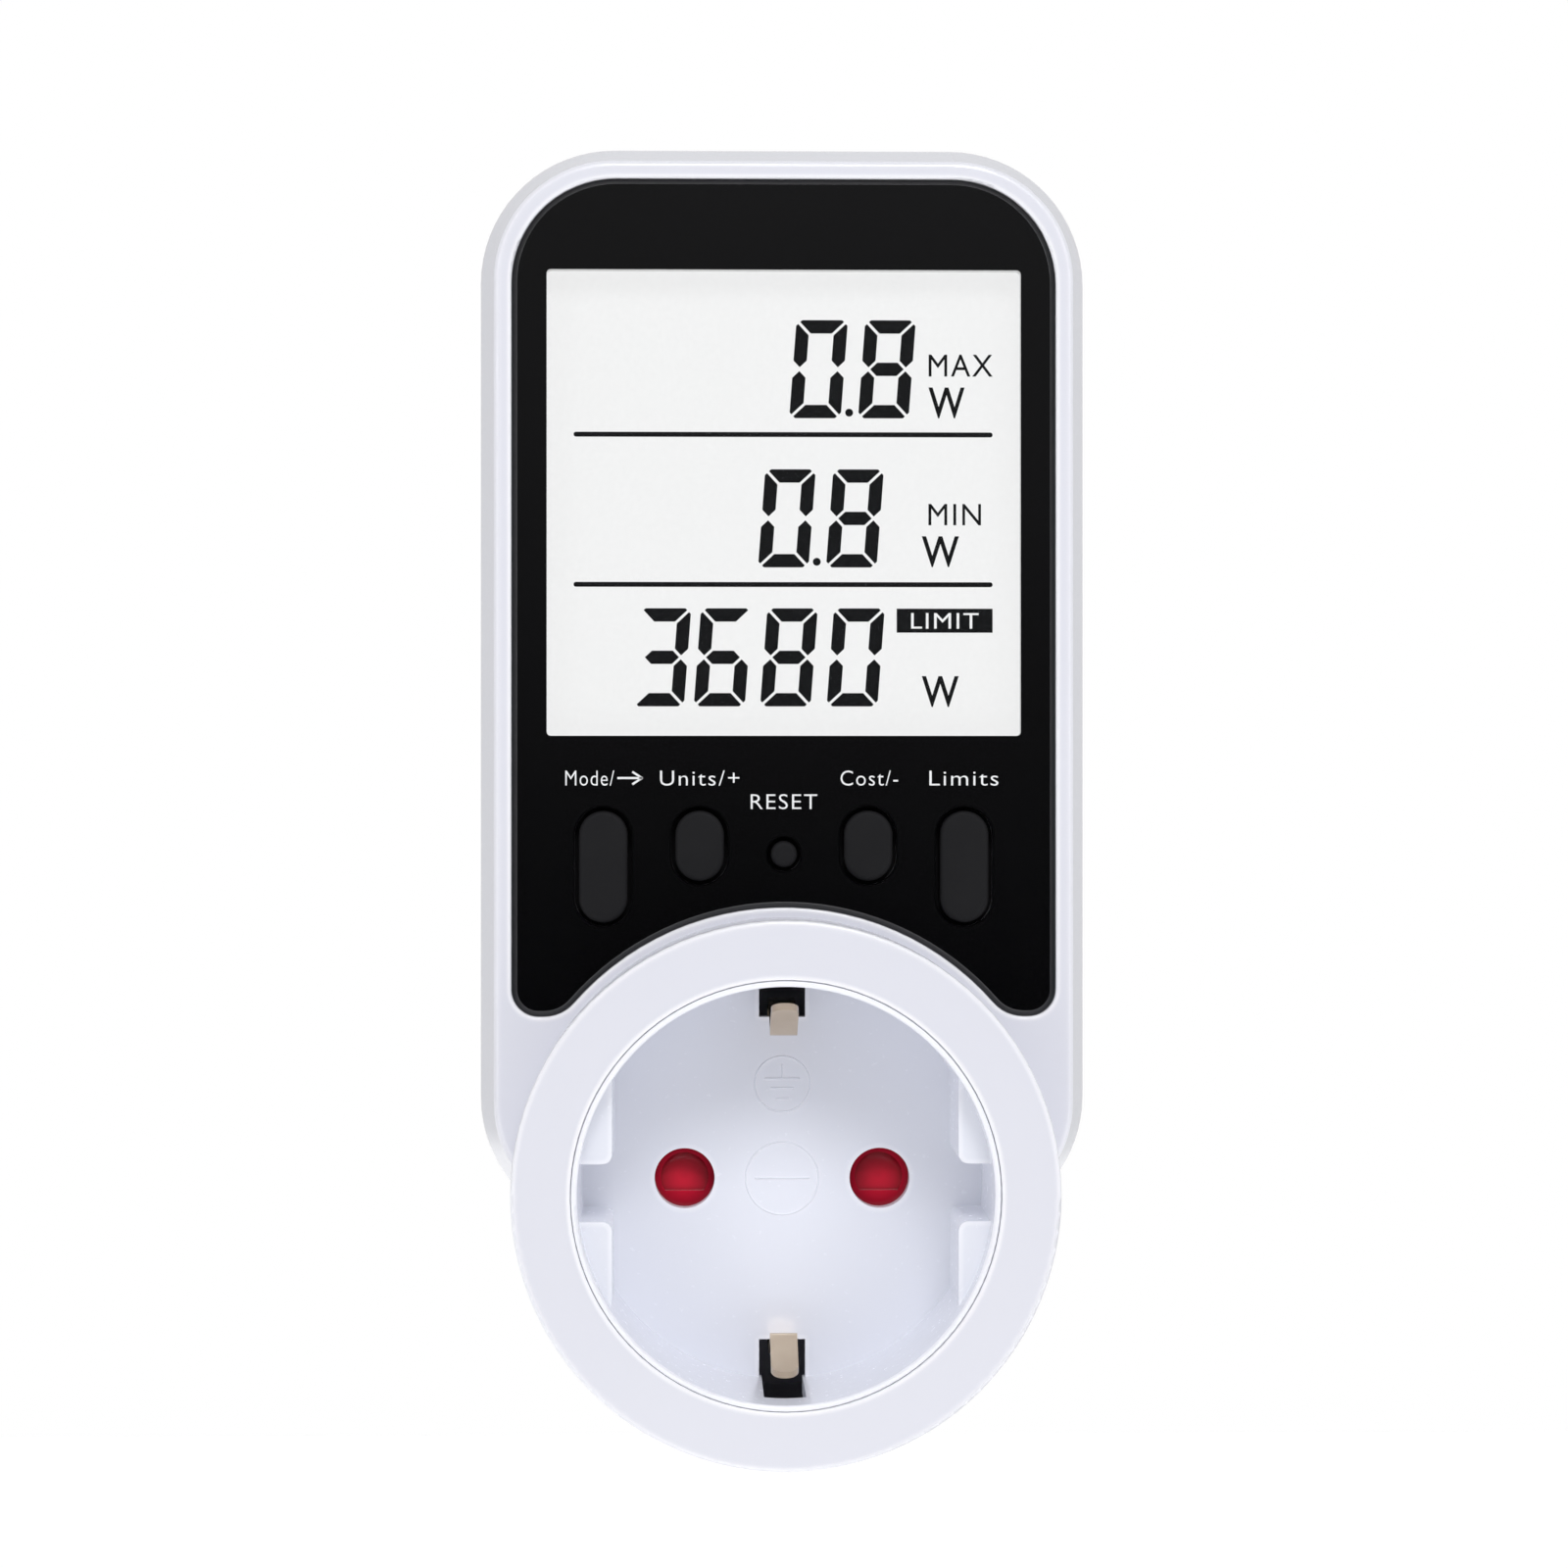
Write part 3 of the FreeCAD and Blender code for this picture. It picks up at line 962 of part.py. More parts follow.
def shunt():
    """The measuring resistor in the live path: a looped strip from the live contact to the plug's pin."""
    tail = -PIN_X - SHANK_FLAT - 1.5 * STRIP
    pin = -PIN_X - SHANK_FLAT - 0.5 * STRIP
    loop = tail - 1.6
    route = [(tail, CARRIER_BACK - 0.4), (tail, -0.2), (loop, -1.6), (loop, -4.6), (pin, -6.4), (pin, -10.0)]
    return strip(route, STRIP, 0.4, lambda u, v: at(u, v, -1.6), FreeCAD.Vector(0, 0, 3.2))


def outlet_earth_strap():
    """The sprung earth clips at the top and foot of the cup, made from one strap."""
    leg = SLOT_INNER + 1.2
    middle = STRAP_DEPTH - STRIP / 2
    tip = RIM_DEPTH - CLIP_TIP_BELOW_RIM
    crest = RIM_DEPTH - CLIP_CREST_BELOW_RIM
    width = FreeCAD.Vector(CLIP_WIDTH, 0, 0)

    def place(u, v):
        return at(-CLIP_WIDTH / 2, v, u)
    half = EARTH_STRAP_WIDTH / 2
    body = [box(-half, half, STRAP_DEPTH - STRIP, STRAP_DEPTH, -leg + 4.9, leg - 4.9)]
    for up in (-1, 1):
        route = [(up * CLIP_TIP, tip), (up * (CLIP_CREST + CLIP_THICKNESS / 2), crest),
                 (up * leg, CUP_FLOOR_DEPTH - 1.0), (up * leg, middle), (up * (leg - 5.9), middle)]
        clip = strip(route, CLIP_THICKNESS, 0.7, place, width)
        clip = round_edges(clip, 1.15, lambda edge: edge.Length < 1.0 and not along(edge, "x")
                           and edge.BoundBox.YMin < -tip + 0.6 and edge.BoundBox.YMax < -tip + 0.6)
        body.append(clip)
    return join(*body)


def earth_link():
    """The bar that carries earth from the outlet's strap to the plug's."""
    return box(-STRIP / 2, STRIP / 2, EARTH_STRAP_DEPTH, STRAP_DEPTH - STRIP, -2.0, 2.0)


# ---- plug --------------------------------------------------------------------------------------
def plug_pin(side):
    x = side * PIN_X
    tip = -BOSS_LENGTH - PIN_LENGTH
    pin = disc(PIN_RADIUS, tip, -BOSS_LENGTH, x)
    pin = round_edges(pin, PIN_TIP_ROUND, lambda edge: at_depth(edge, tip))
    neck = disc(PIN_NECK_RADIUS, -BOSS_LENGTH - 0.5, BOSS_FACE + 0.5, x)
    flange = disc(FLANGE_RADIUS, BOSS_FACE, BOSS_FACE + FLANGE_HEIGHT, x)
    shank = disc(SHANK_RADIUS, BOSS_FACE + 1.0, -SHANK_END, x)
    flat = box(*sorted((x + side * SHANK_FLAT, x + side * 2 * SHANK_RADIUS)), SHANK_FLAT_END, -SHANK_END + 1,
               -SHANK_RADIUS - 1, SHANK_RADIUS + 1)
    return cut(join(pin, neck, flange, shank), flat)


def pin_clamp():
    """The insulating plate that holds both pins down on the inside of the plug's face."""
    low = BOSS_FACE + FLANGE_HEIGHT
    reach = PIN_X + FLANGE_RADIUS + 0.4
    body = slab(-reach, reach, -5.6, 5.6, 2.0, low, low + CLAMP_THICKNESS)
    holes = [disc(SHANK_RADIUS + FIT, low - 1, low + CLAMP_THICKNESS + 1, side * PIN_X) for side in (-1, 1)]
    holes += [disc(BOARD_SCREW + PLAY, low - 1, low + CLAMP_THICKNESS + 1, x, z) for x, z in CLAMP_SCREWS]
    return cut(body, *holes)


def plug_earth_strap():
    """The strap whose two arms lie in the grooves at the top and foot of the plug."""
    reach = EARTH_FACE - STRIP / 2
    middle = EARTH_STRAP_DEPTH - STRIP / 2
    end = -BOSS_LENGTH + 1.4
    route = [(reach, end), (reach, middle), (-reach, middle), (-reach, end)]
    half = EARTH_STRAP_WIDTH / 2
    return strip(route, STRIP, 0.25, lambda u, v: at(-half, v, u), FreeCAD.Vector(2 * half, 0, 0))


# ---- fasteners ---------------------------------------------------------------------------------
def case_screws():
    return group([screw(x, z, CASE_HEAD_DEPTH, CASE_SCREW_LENGTH, CASE_SCREW, CASE_HEAD)
                  for x, z in CASE_POSTS])


def small_screws(places, seat, length, forwards):
    return group([screw(x, z, seat, length, BOARD_SCREW, BOARD_HEAD, forwards) for x, z in places])


def board_screws():
    return small_screws(BOARD_POSTS, BOARD_BACK, CONTROL_SCREW_LENGTH, True)


def power_board_screws():
    return small_screws(POWER_POSTS, POWER_BOARD_FRONT, POWER_SCREW_LENGTH, False)


def cover_screws():
    return small_screws(COVER_SCREWS, COVER_BACK, COVER_SCREW_LENGTH, True)


def carrier_screws():
    return small_screws(CARRIER_EARS, CARRIER_BACK + EAR_THICKNESS, CARRIER_SCREW_LENGTH, False)


def plug_screws():
    return small_screws(CLAMP_SCREWS, BOSS_FACE + FLANGE_HEIGHT + CLAMP_THICKNESS, PLUG_SCREW_LENGTH, False)


# ---- build every piece -------------------------------------------------------------------------
def pieces():
    made = {
        "front_shell": front_shell(),
        "rear_shell": rear_shell(),
        "display_panel": display_panel(),
        "display_window": display_window(),
        "key_switches": key_switches(),
        "lcd_glass": lcd_glass(),
        "light_guide": light_guide(),
        "lcd_holder": lcd_holder(),
        "connector_strip": connector_strip(),
        "backlight_leds": backlight_leds(),
        "control_board": control_board(),
        "control_chip": control_chip(),
        "metering_chip": metering_chip(),
        "backup_battery": backup_battery(),
        "power_board": power_board(),
        "film_capacitor": film_capacitor(),
        "storage_capacitor": storage_capacitor(),
        "varistor": varistor(),
        "fusible_resistor": fusible_resistor(),
        "ribbon_sockets": ribbon_sockets(),
        "ribbon_cable": ribbon_cable(),
        "live_lead": supply_lead(-1),
        "neutral_lead": supply_lead(1),
        "socket_cup": socket_cup(),
        "shutter": shutter(),
        "shutter_spring": shutter_spring(),
        "shutter_cover": shutter_cover(),
        "contact_carrier": contact_carrier(),
        "live_contact": line_contact(-1),
        "neutral_contact": line_contact(1),
        "shunt": shunt(),
        "outlet_earth_strap": outlet_earth_strap(),
        "earth_link": earth_link(),
        "live_pin": plug_pin(-1),
        "neutral_pin": plug_pin(1),
        "pin_clamp": pin_clamp(),
        "plug_earth_strap": plug_earth_strap(),
        "case_screws": case_screws(),
        "board_screws": board_screws(),
        "power_board_screws": power_board_screws(),
        "cover_screws": cover_screws(),
        "carrier_screws": carrier_screws(),
        "plug_screws": plug_screws(),
    }
    for name, x, z, width, height in KEYS:
        made[name + "_key"] = key_cap(x, z, width, height)
        made[name + "_plunger"] = switch_plunger(x, z)
    return made


os.makedirs("parts", exist_ok=True)
for node, shape in pieces().items():
    assert shape.isValid(), node + " is not valid"
    print(node, len(shape.Solids), round(shape.Volume, 1))
    shape.exportStep("parts/" + node + ".step")
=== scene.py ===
# %% [markdown]
# A plug-in power meter stands between a wall socket and an appliance. A plug is at its back, an
# earthed outlet sits in a round collar at its front, and above that are a display and five keys.
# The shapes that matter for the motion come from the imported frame. This lesson gives them their
# finishes, and adds what is too fine for the frame: the display's figures, the printed legends, the
# marks moulded into the outlet's floor and the spring under the shutter.

# %% Load the frame
import json
import math

import bmesh
import bpy
from mathutils import Matrix, Vector


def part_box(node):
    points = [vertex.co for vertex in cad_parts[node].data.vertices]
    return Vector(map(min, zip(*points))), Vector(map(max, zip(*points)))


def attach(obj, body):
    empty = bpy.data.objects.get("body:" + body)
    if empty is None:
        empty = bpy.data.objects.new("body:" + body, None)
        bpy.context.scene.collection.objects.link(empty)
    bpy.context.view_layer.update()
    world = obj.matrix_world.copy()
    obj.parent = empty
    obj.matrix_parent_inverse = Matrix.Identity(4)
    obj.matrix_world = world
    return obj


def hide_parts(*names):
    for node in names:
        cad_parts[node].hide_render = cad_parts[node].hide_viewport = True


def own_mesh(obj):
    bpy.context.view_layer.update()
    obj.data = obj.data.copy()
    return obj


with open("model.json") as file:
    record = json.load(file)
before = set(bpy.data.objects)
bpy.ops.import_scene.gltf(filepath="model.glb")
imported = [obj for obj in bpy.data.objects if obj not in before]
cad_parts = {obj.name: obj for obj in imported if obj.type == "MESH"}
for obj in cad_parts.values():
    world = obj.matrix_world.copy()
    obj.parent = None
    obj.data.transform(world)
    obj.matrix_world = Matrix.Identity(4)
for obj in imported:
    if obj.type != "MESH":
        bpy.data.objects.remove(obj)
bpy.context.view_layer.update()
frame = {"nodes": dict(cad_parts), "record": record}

MM = 0.001
nodes = frame["nodes"]

# %% [markdown]
# Colours are written the way a paint chart gives them, as sRGB hex. Blender mixes light, not paint,
# so each one is turned to linear values once, here. A material is a small graph, and one function
# adds a node to it: settings go to the node or its sockets by name, and feeds link its sockets.

# %% Colour and node helpers
def linear(code, alpha=1.0):
    """The linear values of an sRGB hex colour."""
    parts = [int(code[i:i + 2], 16) / 255 for i in (0, 2, 4)]
    return [c / 12.92 if c <= 0.04045 else ((c + 0.055) / 1.055) ** 2.4 for c in parts] + [alpha]


def add(tree, kind, settings=None, feeds=None):
    """Adds a node with its settings and links, and gives it back."""
    node = tree.nodes.new("ShaderNode" + kind)
    for key, value in (settings or {}).items():
        if isinstance(key, str) and hasattr(node, key):
            setattr(node, key, value)
        else:
            node.inputs[key].default_value = value
    for key, source in (feeds or {}).items():
        tree.links.new(source, node.inputs[key])
    return node


def blank(name):
    """A new material with an empty graph, and that graph."""
    material = bpy.data.materials.new(name)
    material.use_nodes = True
    material.node_tree.nodes.clear()
    return material, material.node_tree


def finish_off(tree, surface):
    """Makes a shader the surface of the material."""
    add(tree, "OutputMaterial", feeds={"Surface": surface.outputs[0]})


print("the grey 808080 is", round(linear("808080")[0], 3), "in linear light")


# %% [markdown]
# Most of this object is injection moulded. What the eye reads on such a part is its gloss, a colour
# that is never quite even over some centimetres, and the fine grain of a spark-eroded mould. So one
# function makes every moulded finish from those three, with the grain's size in real millimetres.
# It also paints light and shade into the colour: a painted highlight makes the thin edges of white
# plastic paler, and painted shade makes a deep colour darker in a corner. Both come from ambient
# occlusion: measured inside the solid it finds thin edges, and measured outside it finds corners.

# %% Moulded finishes
PAINTED_EDGE_MM = 0.55      # how deep into the solid the painted edge highlight looks for an edge


def moulded(name, colour, shade, roughness, ior=1.53, cloud_mm=24, grain_mm=0.45, grain_depth_mm=0.004,
            level=0.5, coat=0.0, glow=0.0, corner=None, corner_mm=2.0, edge=None):
    """A moulded plastic or rubber: colour drifts to shade, and grain breaks the gloss.

    corner is the painted shade in corners that are corner_mm deep, edge the painted edge highlight.
    """
    material, tree = blank(name)
    where = add(tree, "TexCoord").outputs["Object"]
    cloud = add(tree, "TexNoise", {"Scale": 1000 / cloud_mm, "Detail": 2.0}, {"Vector": where})
    tint = add(tree, "Mix", {"data_type": "RGBA", 6: linear(colour), 7: linear(shade)},
               {0: cloud.outputs["Fac"]})
    # Painted shade: the colour turns to corner where ambient occlusion finds a corner.
    if corner:
        depth = add(tree, "AmbientOcclusion", {"samples": 8, "Distance": corner_mm * MM})
        tint = add(tree, "Mix", {"data_type": "RGBA", 6: linear(corner)},
                   {0: depth.outputs["AO"], 7: tint.outputs[2]})
    # Painted highlight: the colour turns to edge on edges found by ambient occlusion inside the solid.
    if edge:
        thick = add(tree, "AmbientOcclusion",
                    {"samples": 8, "inside": True, "Distance": PAINTED_EDGE_MM * MM})
        painted_edge_highlight = add(tree, "MapRange", {"From Min": 0.97, "From Max": 0.8}, {"Value": thick.outputs["AO"]})
        tint = add(tree, "Mix", {"data_type": "RGBA", 7: linear(edge)},
                   {0: painted_edge_highlight.outputs[0], 6: tint.outputs[2]})
    grain = add(tree, "TexNoise", {"Scale": 1000 / grain_mm, "Detail": 3.0, "Roughness": 0.6},
                {"Vector": where})
    gloss = add(tree, "MapRange", {"To Min": roughness * 0.85, "To Max": roughness * 1.15},
                {"Value": grain.outputs["Fac"]})
    bump = add(tree, "Bump", {"Strength": 0.6, "Distance": grain_depth_mm * MM},
               {"Height": grain.outputs["Fac"]})
    # glow is emission: painted light on the cup, the backlight on the display's reversed letters.
    shader = add(tree, "BsdfPrincipled",
                 {"IOR": ior, "Specular IOR Level": level, "Coat Weight": coat, "Coat Roughness": 0.12,
                  "Emission Color": linear(colour), "Emission Strength": glow},
                 {"Base Color": tint.outputs[2], "Roughness": gloss.outputs[0], "Normal": bump.outputs[0]})
    finish_off(tree, shader)
    return material


finishes = {
    # ABS with a fine satin grain. Its white leans to lilac, and it stays soft in every highlight.
    # Its edges carry a painted highlight, from edge.
    "shell_white": moulded("abs_satin_white", "e6e7f0", "e3e4ee", 0.24, grain_depth_mm=0.0006, coat=0.4,
                           edge="fafaff"),
    # Polycarbonate, a little glossier, for the cup that carries the plug.
    # A faint glow paints light into its shadows, and its edges carry a painted highlight.
    "cup_white": moulded("polycarbonate_white", "eceef6", "e8eaf3", 0.26, ior=1.58, grain_mm=0.6,
                         grain_depth_mm=0.0006, glow=0.045, edge="f3f4fb"),
    # The same plastic for the fine marks on the cup's floor, which are too thin for the painted edge
    # highlight. Their faint glow is painted light too.
    "cup_mark": moulded("polycarbonate_white_mark", "eceef6", "e8eaf3", 0.26, ior=1.58, grain_mm=0.6,
                        grain_depth_mm=0.0006, glow=0.01),
    # Silicone rubber keys: matte, dark grey, and slightly uneven where the mould vented.
    "key_rubber": moulded("silicone_key_grey", "1c1c1e", "202022", 0.62, ior=1.43, cloud_mm=3, grain_mm=0.25,
                          grain_depth_mm=0.006, level=0.12),
    # Polished ABS shutter, the red that warns that a hole is closed. Painted shade darkens it where its
    # dish meets the wall of the hole.
    "shutter_red": moulded("abs_gloss_red", "ee2442", "dc1c38", 0.14, grain_mm=1.2, grain_depth_mm=0.002,
                           corner="2a0008", corner_mm=2.6),
    # Glass-filled nylon behind the cup: the short fibres leave a coarse dull skin.
    "carrier_black": moulded("nylon_glass_filled_black", "151517", "1b1b1e", 0.55, grain_mm=0.3,
                             grain_depth_mm=0.01),
    # Acetal slides well, and looks a little waxy.
    "plunger_black": moulded("acetal_black", "121214", "18181a", 0.38, ior=1.48),
    # Switch bodies are an even mid grey with hardly any gloss.
    "switch_grey": moulded("switch_housing_grey", "6b6c70", "5f6064", 0.45),
    # ABS from a textured mould: white, and matte enough to hide its own edges.
    "holder_white": moulded("abs_matte_white", "e4e4e2", "dadad8", 0.5),
    # Acrylic that carries light looks wet and almost clean white.
    "guide_white": moulded("acrylic_light_guide", "f2f4f4", "e9ecec", 0.12, ior=1.49, grain_mm=0.9),
    # Silicone strips, dull pink, with fine stripes that the eye sees as a slow change of colour.
    "elastomer": moulded("silicone_zebra_pink", "d98f92", "cc7f84", 0.6, ior=1.41, cloud_mm=0.5),
    # Phosphor over a small diode: a soft yellow drop with a gloss.
    "led_white": moulded("led_phosphor_yellow", "f0e7a8", "e6da90", 0.25, ior=1.5),
    # Epoxy moulding compound: near black, with a dust-like grain.
    "chip_black": moulded("epoxy_mould_black", "1a1a1b", "202021", 0.5, grain_mm=0.2, grain_depth_mm=0.006),
    # A shrunk plastic sleeve is glossy, because it was drawn tight.
    "battery_sleeve": moulded("shrink_sleeve_green", "1c6b3c", "186034", 0.28, grain_mm=1.5),
    # A polyester box filled with resin: flat yellow sides, half gloss.
    "capacitor_yellow": moulded("polyester_box_yellow", "d9a520", "cc9918", 0.35),
    # The same kind of sleeve as the battery's, in black.
    "capacitor_black": moulded("shrink_sleeve_black", "161618", "1e1e22", 0.26, grain_mm=1.5),
    # Dipped in epoxy, so it is lumpy and glossy, like thick paint.
    "varistor_blue": moulded("dipped_epoxy_blue", "1f5aa8", "1a4f98", 0.22, cloud_mm=3, grain_mm=1.0,
                             grain_depth_mm=0.02),
    # A cement coat is rough and dull, and its green is uneven.
    "resistor_green": moulded("cement_coat_green", "7c8f7c", "70836f", 0.6, cloud_mm=2, grain_depth_mm=0.012),
    # Soft plastic on a flat cable: pale grey with a slight sheen.
    "ribbon_grey": moulded("pvc_ribbon_grey", "b4b4b8", "a5a5aa", 0.42),
    # Soft plastic on the two mains leads, in the usual brown and blue.
    "lead_brown": moulded("pvc_lead_brown", "5e3420", "522c1a", 0.38),
    "lead_blue": moulded("pvc_lead_blue", "2f5fae", "28549c", 0.38),
}
print("moulded finishes:", len(finishes))

# %% [markdown]
# The panel round the display is polished black, with no grain that the eye can find. Its gloss is
# what sells it, and only a trace of waviness from the mould bends the reflections.

# %% Polished panel
def polished(name, colour, roughness, level, wave_mm, wave_depth_mm):
    """A polished black whose surface is wavy by wave_depth_mm over wave_mm."""
    material, tree = blank(name)
    where = add(tree, "TexCoord").outputs["Object"]
    wave = add(tree, "TexNoise", {"Scale": 1000 / wave_mm, "Detail": 1.0}, {"Vector": where})
    rub = add(tree, "TexNoise", {"Scale": 1000 / 2.5, "Detail": 4.0}, {"Vector": where})
    gloss = add(tree, "MapRange", {"To Min": roughness * 0.7, "To Max": roughness * 1.3},
                {"Value": rub.outputs["Fac"]})
    bump = add(tree, "Bump", {"Strength": 0.4, "Distance": wave_depth_mm * MM},
               {"Height": wave.outputs["Fac"]})
    tint = add(tree, "Mix", {"data_type": "RGBA", 6: linear(colour), 7: linear("08080a")},
               {0: wave.outputs["Fac"]})
    shader = add(tree, "BsdfPrincipled", {"IOR": 1.49, "Specular IOR Level": level, "Coat Weight": 1.0,
                                          "Coat IOR": 1.5, "Coat Roughness": 0.05},
                 {"Base Color": tint.outputs[2], "Roughness": gloss.outputs[0], "Normal": bump.outputs[0]})
    finish_off(tree, shader)
    return material


finishes["panel_black"] = polished("acrylic_polished_black", "040405", 0.12, 0.5, 30, 0.01)
print("panel finish:", finishes["panel_black"].name)

# %% [markdown]
# Metals differ in how they were worked. Stamped strip carries faint rolling lines along its length,
# turned pins carry rings, and plating leaves both bright. The lines are a noise stretched along one
# axis, so each metal says which way it was drawn.

# %% Metals
LINE_MM = 0.12      # width of a drawing line; a line is twelve times as long


def metal(name, colour, shade, roughness, along):
    """A worked metal with fine lines along one axis, and slow stains in its colour."""
    material, tree = blank(name)
    where = add(tree, "TexCoord").outputs["Object"]
    squeeze = [1.0 if axis == along else 12.0 for axis in "xyz"]
    drawn = add(tree, "Mapping", {"Scale": squeeze}, {"Vector": where})
    lines = add(tree, "TexNoise", {"Scale": 1000 / (LINE_MM * 12), "Detail": 3.0},
                {"Vector": drawn.outputs[0]})
    stain = add(tree, "TexNoise", {"Scale": 1000 / 5, "Detail": 3.0}, {"Vector": where})
    tint = add(tree, "Mix", {"data_type": "RGBA", 6: linear(colour), 7: linear(shade)},
               {0: stain.outputs["Fac"]})
    gloss = add(tree, "MapRange", {"To Min": roughness * 0.7, "To Max": roughness * 1.4},
                {"Value": lines.outputs["Fac"]})
    bump = add(tree, "Bump", {"Strength": 0.3, "Distance": 0.003 * MM},
               {"Height": lines.outputs["Fac"]})
    shader = add(tree, "BsdfPrincipled", {"Metallic": 1.0},
                 {"Base Color": tint.outputs[2], "Roughness": gloss.outputs[0], "Normal": bump.outputs[0]})
    finish_off(tree, shader)
    return material


finishes.update({
    # Plated spring strip, which takes a warm tone from the light in the outlet: the earth clips.
    "nickel_plate": metal("nickel_plated_strip", "dcccb4", "b09c84", 0.2, "y"),
    # Turned brass under nickel: bright, with fine rings round the pin.
    "pin_nickel": metal("nickel_plated_turned_brass", "dcd8d2", "cfcac2", 0.16, "x"),
    # Bare stamped brass: yellow, and duller than the plated parts.
    "contact_brass": metal("stamped_brass", "d9b46a", "c9a258", 0.3, "y"),
    # A rolled strip of copper and manganese: a dull reddish brown.
    "shunt_alloy": metal("rolled_copper_manganese", "b98a6a", "a87a5c", 0.35, "y"),
    # Drawn steel wire: grey, with a narrow highlight along it.
    "spring_steel": metal("drawn_spring_steel", "b8b9bc", "a6a7ab", 0.28, "z"),
    # Zinc plating on steel is a little bluer and softer than nickel.
    "screw_steel": metal("zinc_plated_steel", "c3c6cb", "b2b6bd", 0.32, "x"),
})
print("finishes with metals:", len(finishes))

# %% [markdown]
# The window is clear acrylic over the display. Real glass would also have to bend the light that
# falls on the display behind it, which is slow and noisy, so the window is almost see-through, and
# what little is left of it carries the gloss.

# %% Window
material, tree = blank("acrylic_clear_window")
where = add(tree, "TexCoord").outputs["Object"]
haze = add(tree, "TexNoise", {"Scale": 1000 / 9, "Detail": 2.0}, {"Vector": where})
gloss = add(tree, "MapRange", {"To Min": 0.03, "To Max": 0.07}, {"Value": haze.outputs["Fac"]})
shader = add(tree, "BsdfPrincipled", {"Base Color": linear("303234"), "IOR": 1.49, "Alpha": 0.04},
             {"Roughness": gloss.outputs[0]})
finish_off(tree, shader)
finishes["window_clear"] = material
print("window finish:", material.name)

# %% [markdown]
# A liquid crystal display is a pale mirror lit from behind: near white, with painted shade that
# makes it greyer towards one corner. A ramp across the glass gives that shade. The diffuser's
# dot screen is too fine to show, so it is drawn at half a millimetre.

# %% Display glass
material, tree = blank("lcd_backlit_glass")
where = add(tree, "TexCoord").outputs["Object"]
low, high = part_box("lcd_glass")
slope = add(tree, "Mapping", {"vector_type": "TEXTURE", "Location": [high.x, 0, low.z],
                              "Rotation": [0, math.radians(45), 0], "Scale": [0.075] * 3}, {"Vector": where})
ramp = add(tree, "TexGradient", {}, {"Vector": slope.outputs[0]})
screen = add(tree, "TexVoronoi", {"Scale": 1000 / 0.5}, {"Vector": where})
# Painted shade: the colour, and the light the glass gives, grow greyer towards one corner.
painted_shade_ramp = add(tree, "Mix", {"data_type": "RGBA", 6: linear("f8f8f8"), 7: linear("eeefef")},
           {0: ramp.outputs["Fac"]})
fine = add(tree, "Mix", {"data_type": "RGBA", "blend_type": "MULTIPLY", 0: 0.03},
           {6: painted_shade_ramp.outputs[2], 7: screen.outputs["Distance"]})
dull = add(tree, "Mix", {"data_type": "RGBA", "blend_type": "MULTIPLY", 0: 1.0, 7: linear("6a6c6c")},
           {6: fine.outputs[2]})
shader = add(tree, "BsdfPrincipled", {"Roughness": 0.35, "IOR": 1.52, "Emission Strength": 0.9},
             {"Base Color": dull.outputs[2], "Emission Color": fine.outputs[2]})
finish_off(tree, shader)
finishes["lcd_glass"] = material
print("display glass from", round(low.x / MM, 1), "to", round(high.x / MM, 1), "mm across")

# %% [markdown]
# A circuit board is glass cloth under a green solder mask. Copper tracks show through it as paler
# green lines, and tinned pads as bright dots. Bricks of long thin cells give the tracks, and a
# regular grid of Voronoi cells gives the pads.

# %% Circuit board
material, tree = blank("fibreglass_board_green")
where = add(tree, "TexCoord").outputs["Object"]
flat = add(tree, "Mapping", {"Rotation": [math.radians(90), 0, 0]}, {"Vector": where})
tracks = add(tree, "TexBrick",
             {"Scale": 1.0, "Brick Width": 6 * MM, "Row Height": 1.1 * MM, "Mortar Size": 0.16 * MM,
              "Color1": linear("0f5a2e"), "Color2": linear("146634"), "Mortar": linear("3f9a5c")},
             {"Vector": flat.outputs[0]})
pads = add(tree, "TexVoronoi", {"Scale": 1000 / 5.08, "Randomness": 0.35}, {"Vector": flat.outputs[0]})
tinned = add(tree, "Math", {"operation": "LESS_THAN", 1: 0.13}, {0: pads.outputs["Distance"]})
tint = add(tree, "Mix", {"data_type": "RGBA", 7: linear("cfcfca")},
           {0: tinned.outputs[0], 6: tracks.outputs["Color"]})
bump = add(tree, "Bump", {"Strength": 0.5, "Distance": 0.035 * MM}, {"Height": tracks.outputs["Fac"]})
shader = add(tree, "BsdfPrincipled", {"Roughness": 0.3, "IOR": 1.5},
             {"Base Color": tint.outputs[2], "Metallic": tinned.outputs[0], "Normal": bump.outputs[0]})
finish_off(tree, shader)
finishes["board_green"] = material
print("board finish:", material.name)

# %% [markdown]
# Every node of the frame names a material slot in its record, so the finishes go on by that name.

# %% Dress the frame's nodes
for entry in frame["record"]["subparts"]:
    mesh = nodes[entry["node"]].data
    mesh.materials.clear()
    mesh.materials.append(finishes[entry["material_slot"]])

# %% [markdown]
# Pad-printed legends and the display's figures are thin layers of ink. They are made as flat solids
# a few hundredths of a millimetre thick, because a shape holds its edge at any distance, where a
# drawn picture would blur. Each ink has its own faint unevenness: the pad print is a little rough,
# the display's segments are smooth and swallow light, and the reversed letters let the glass through.

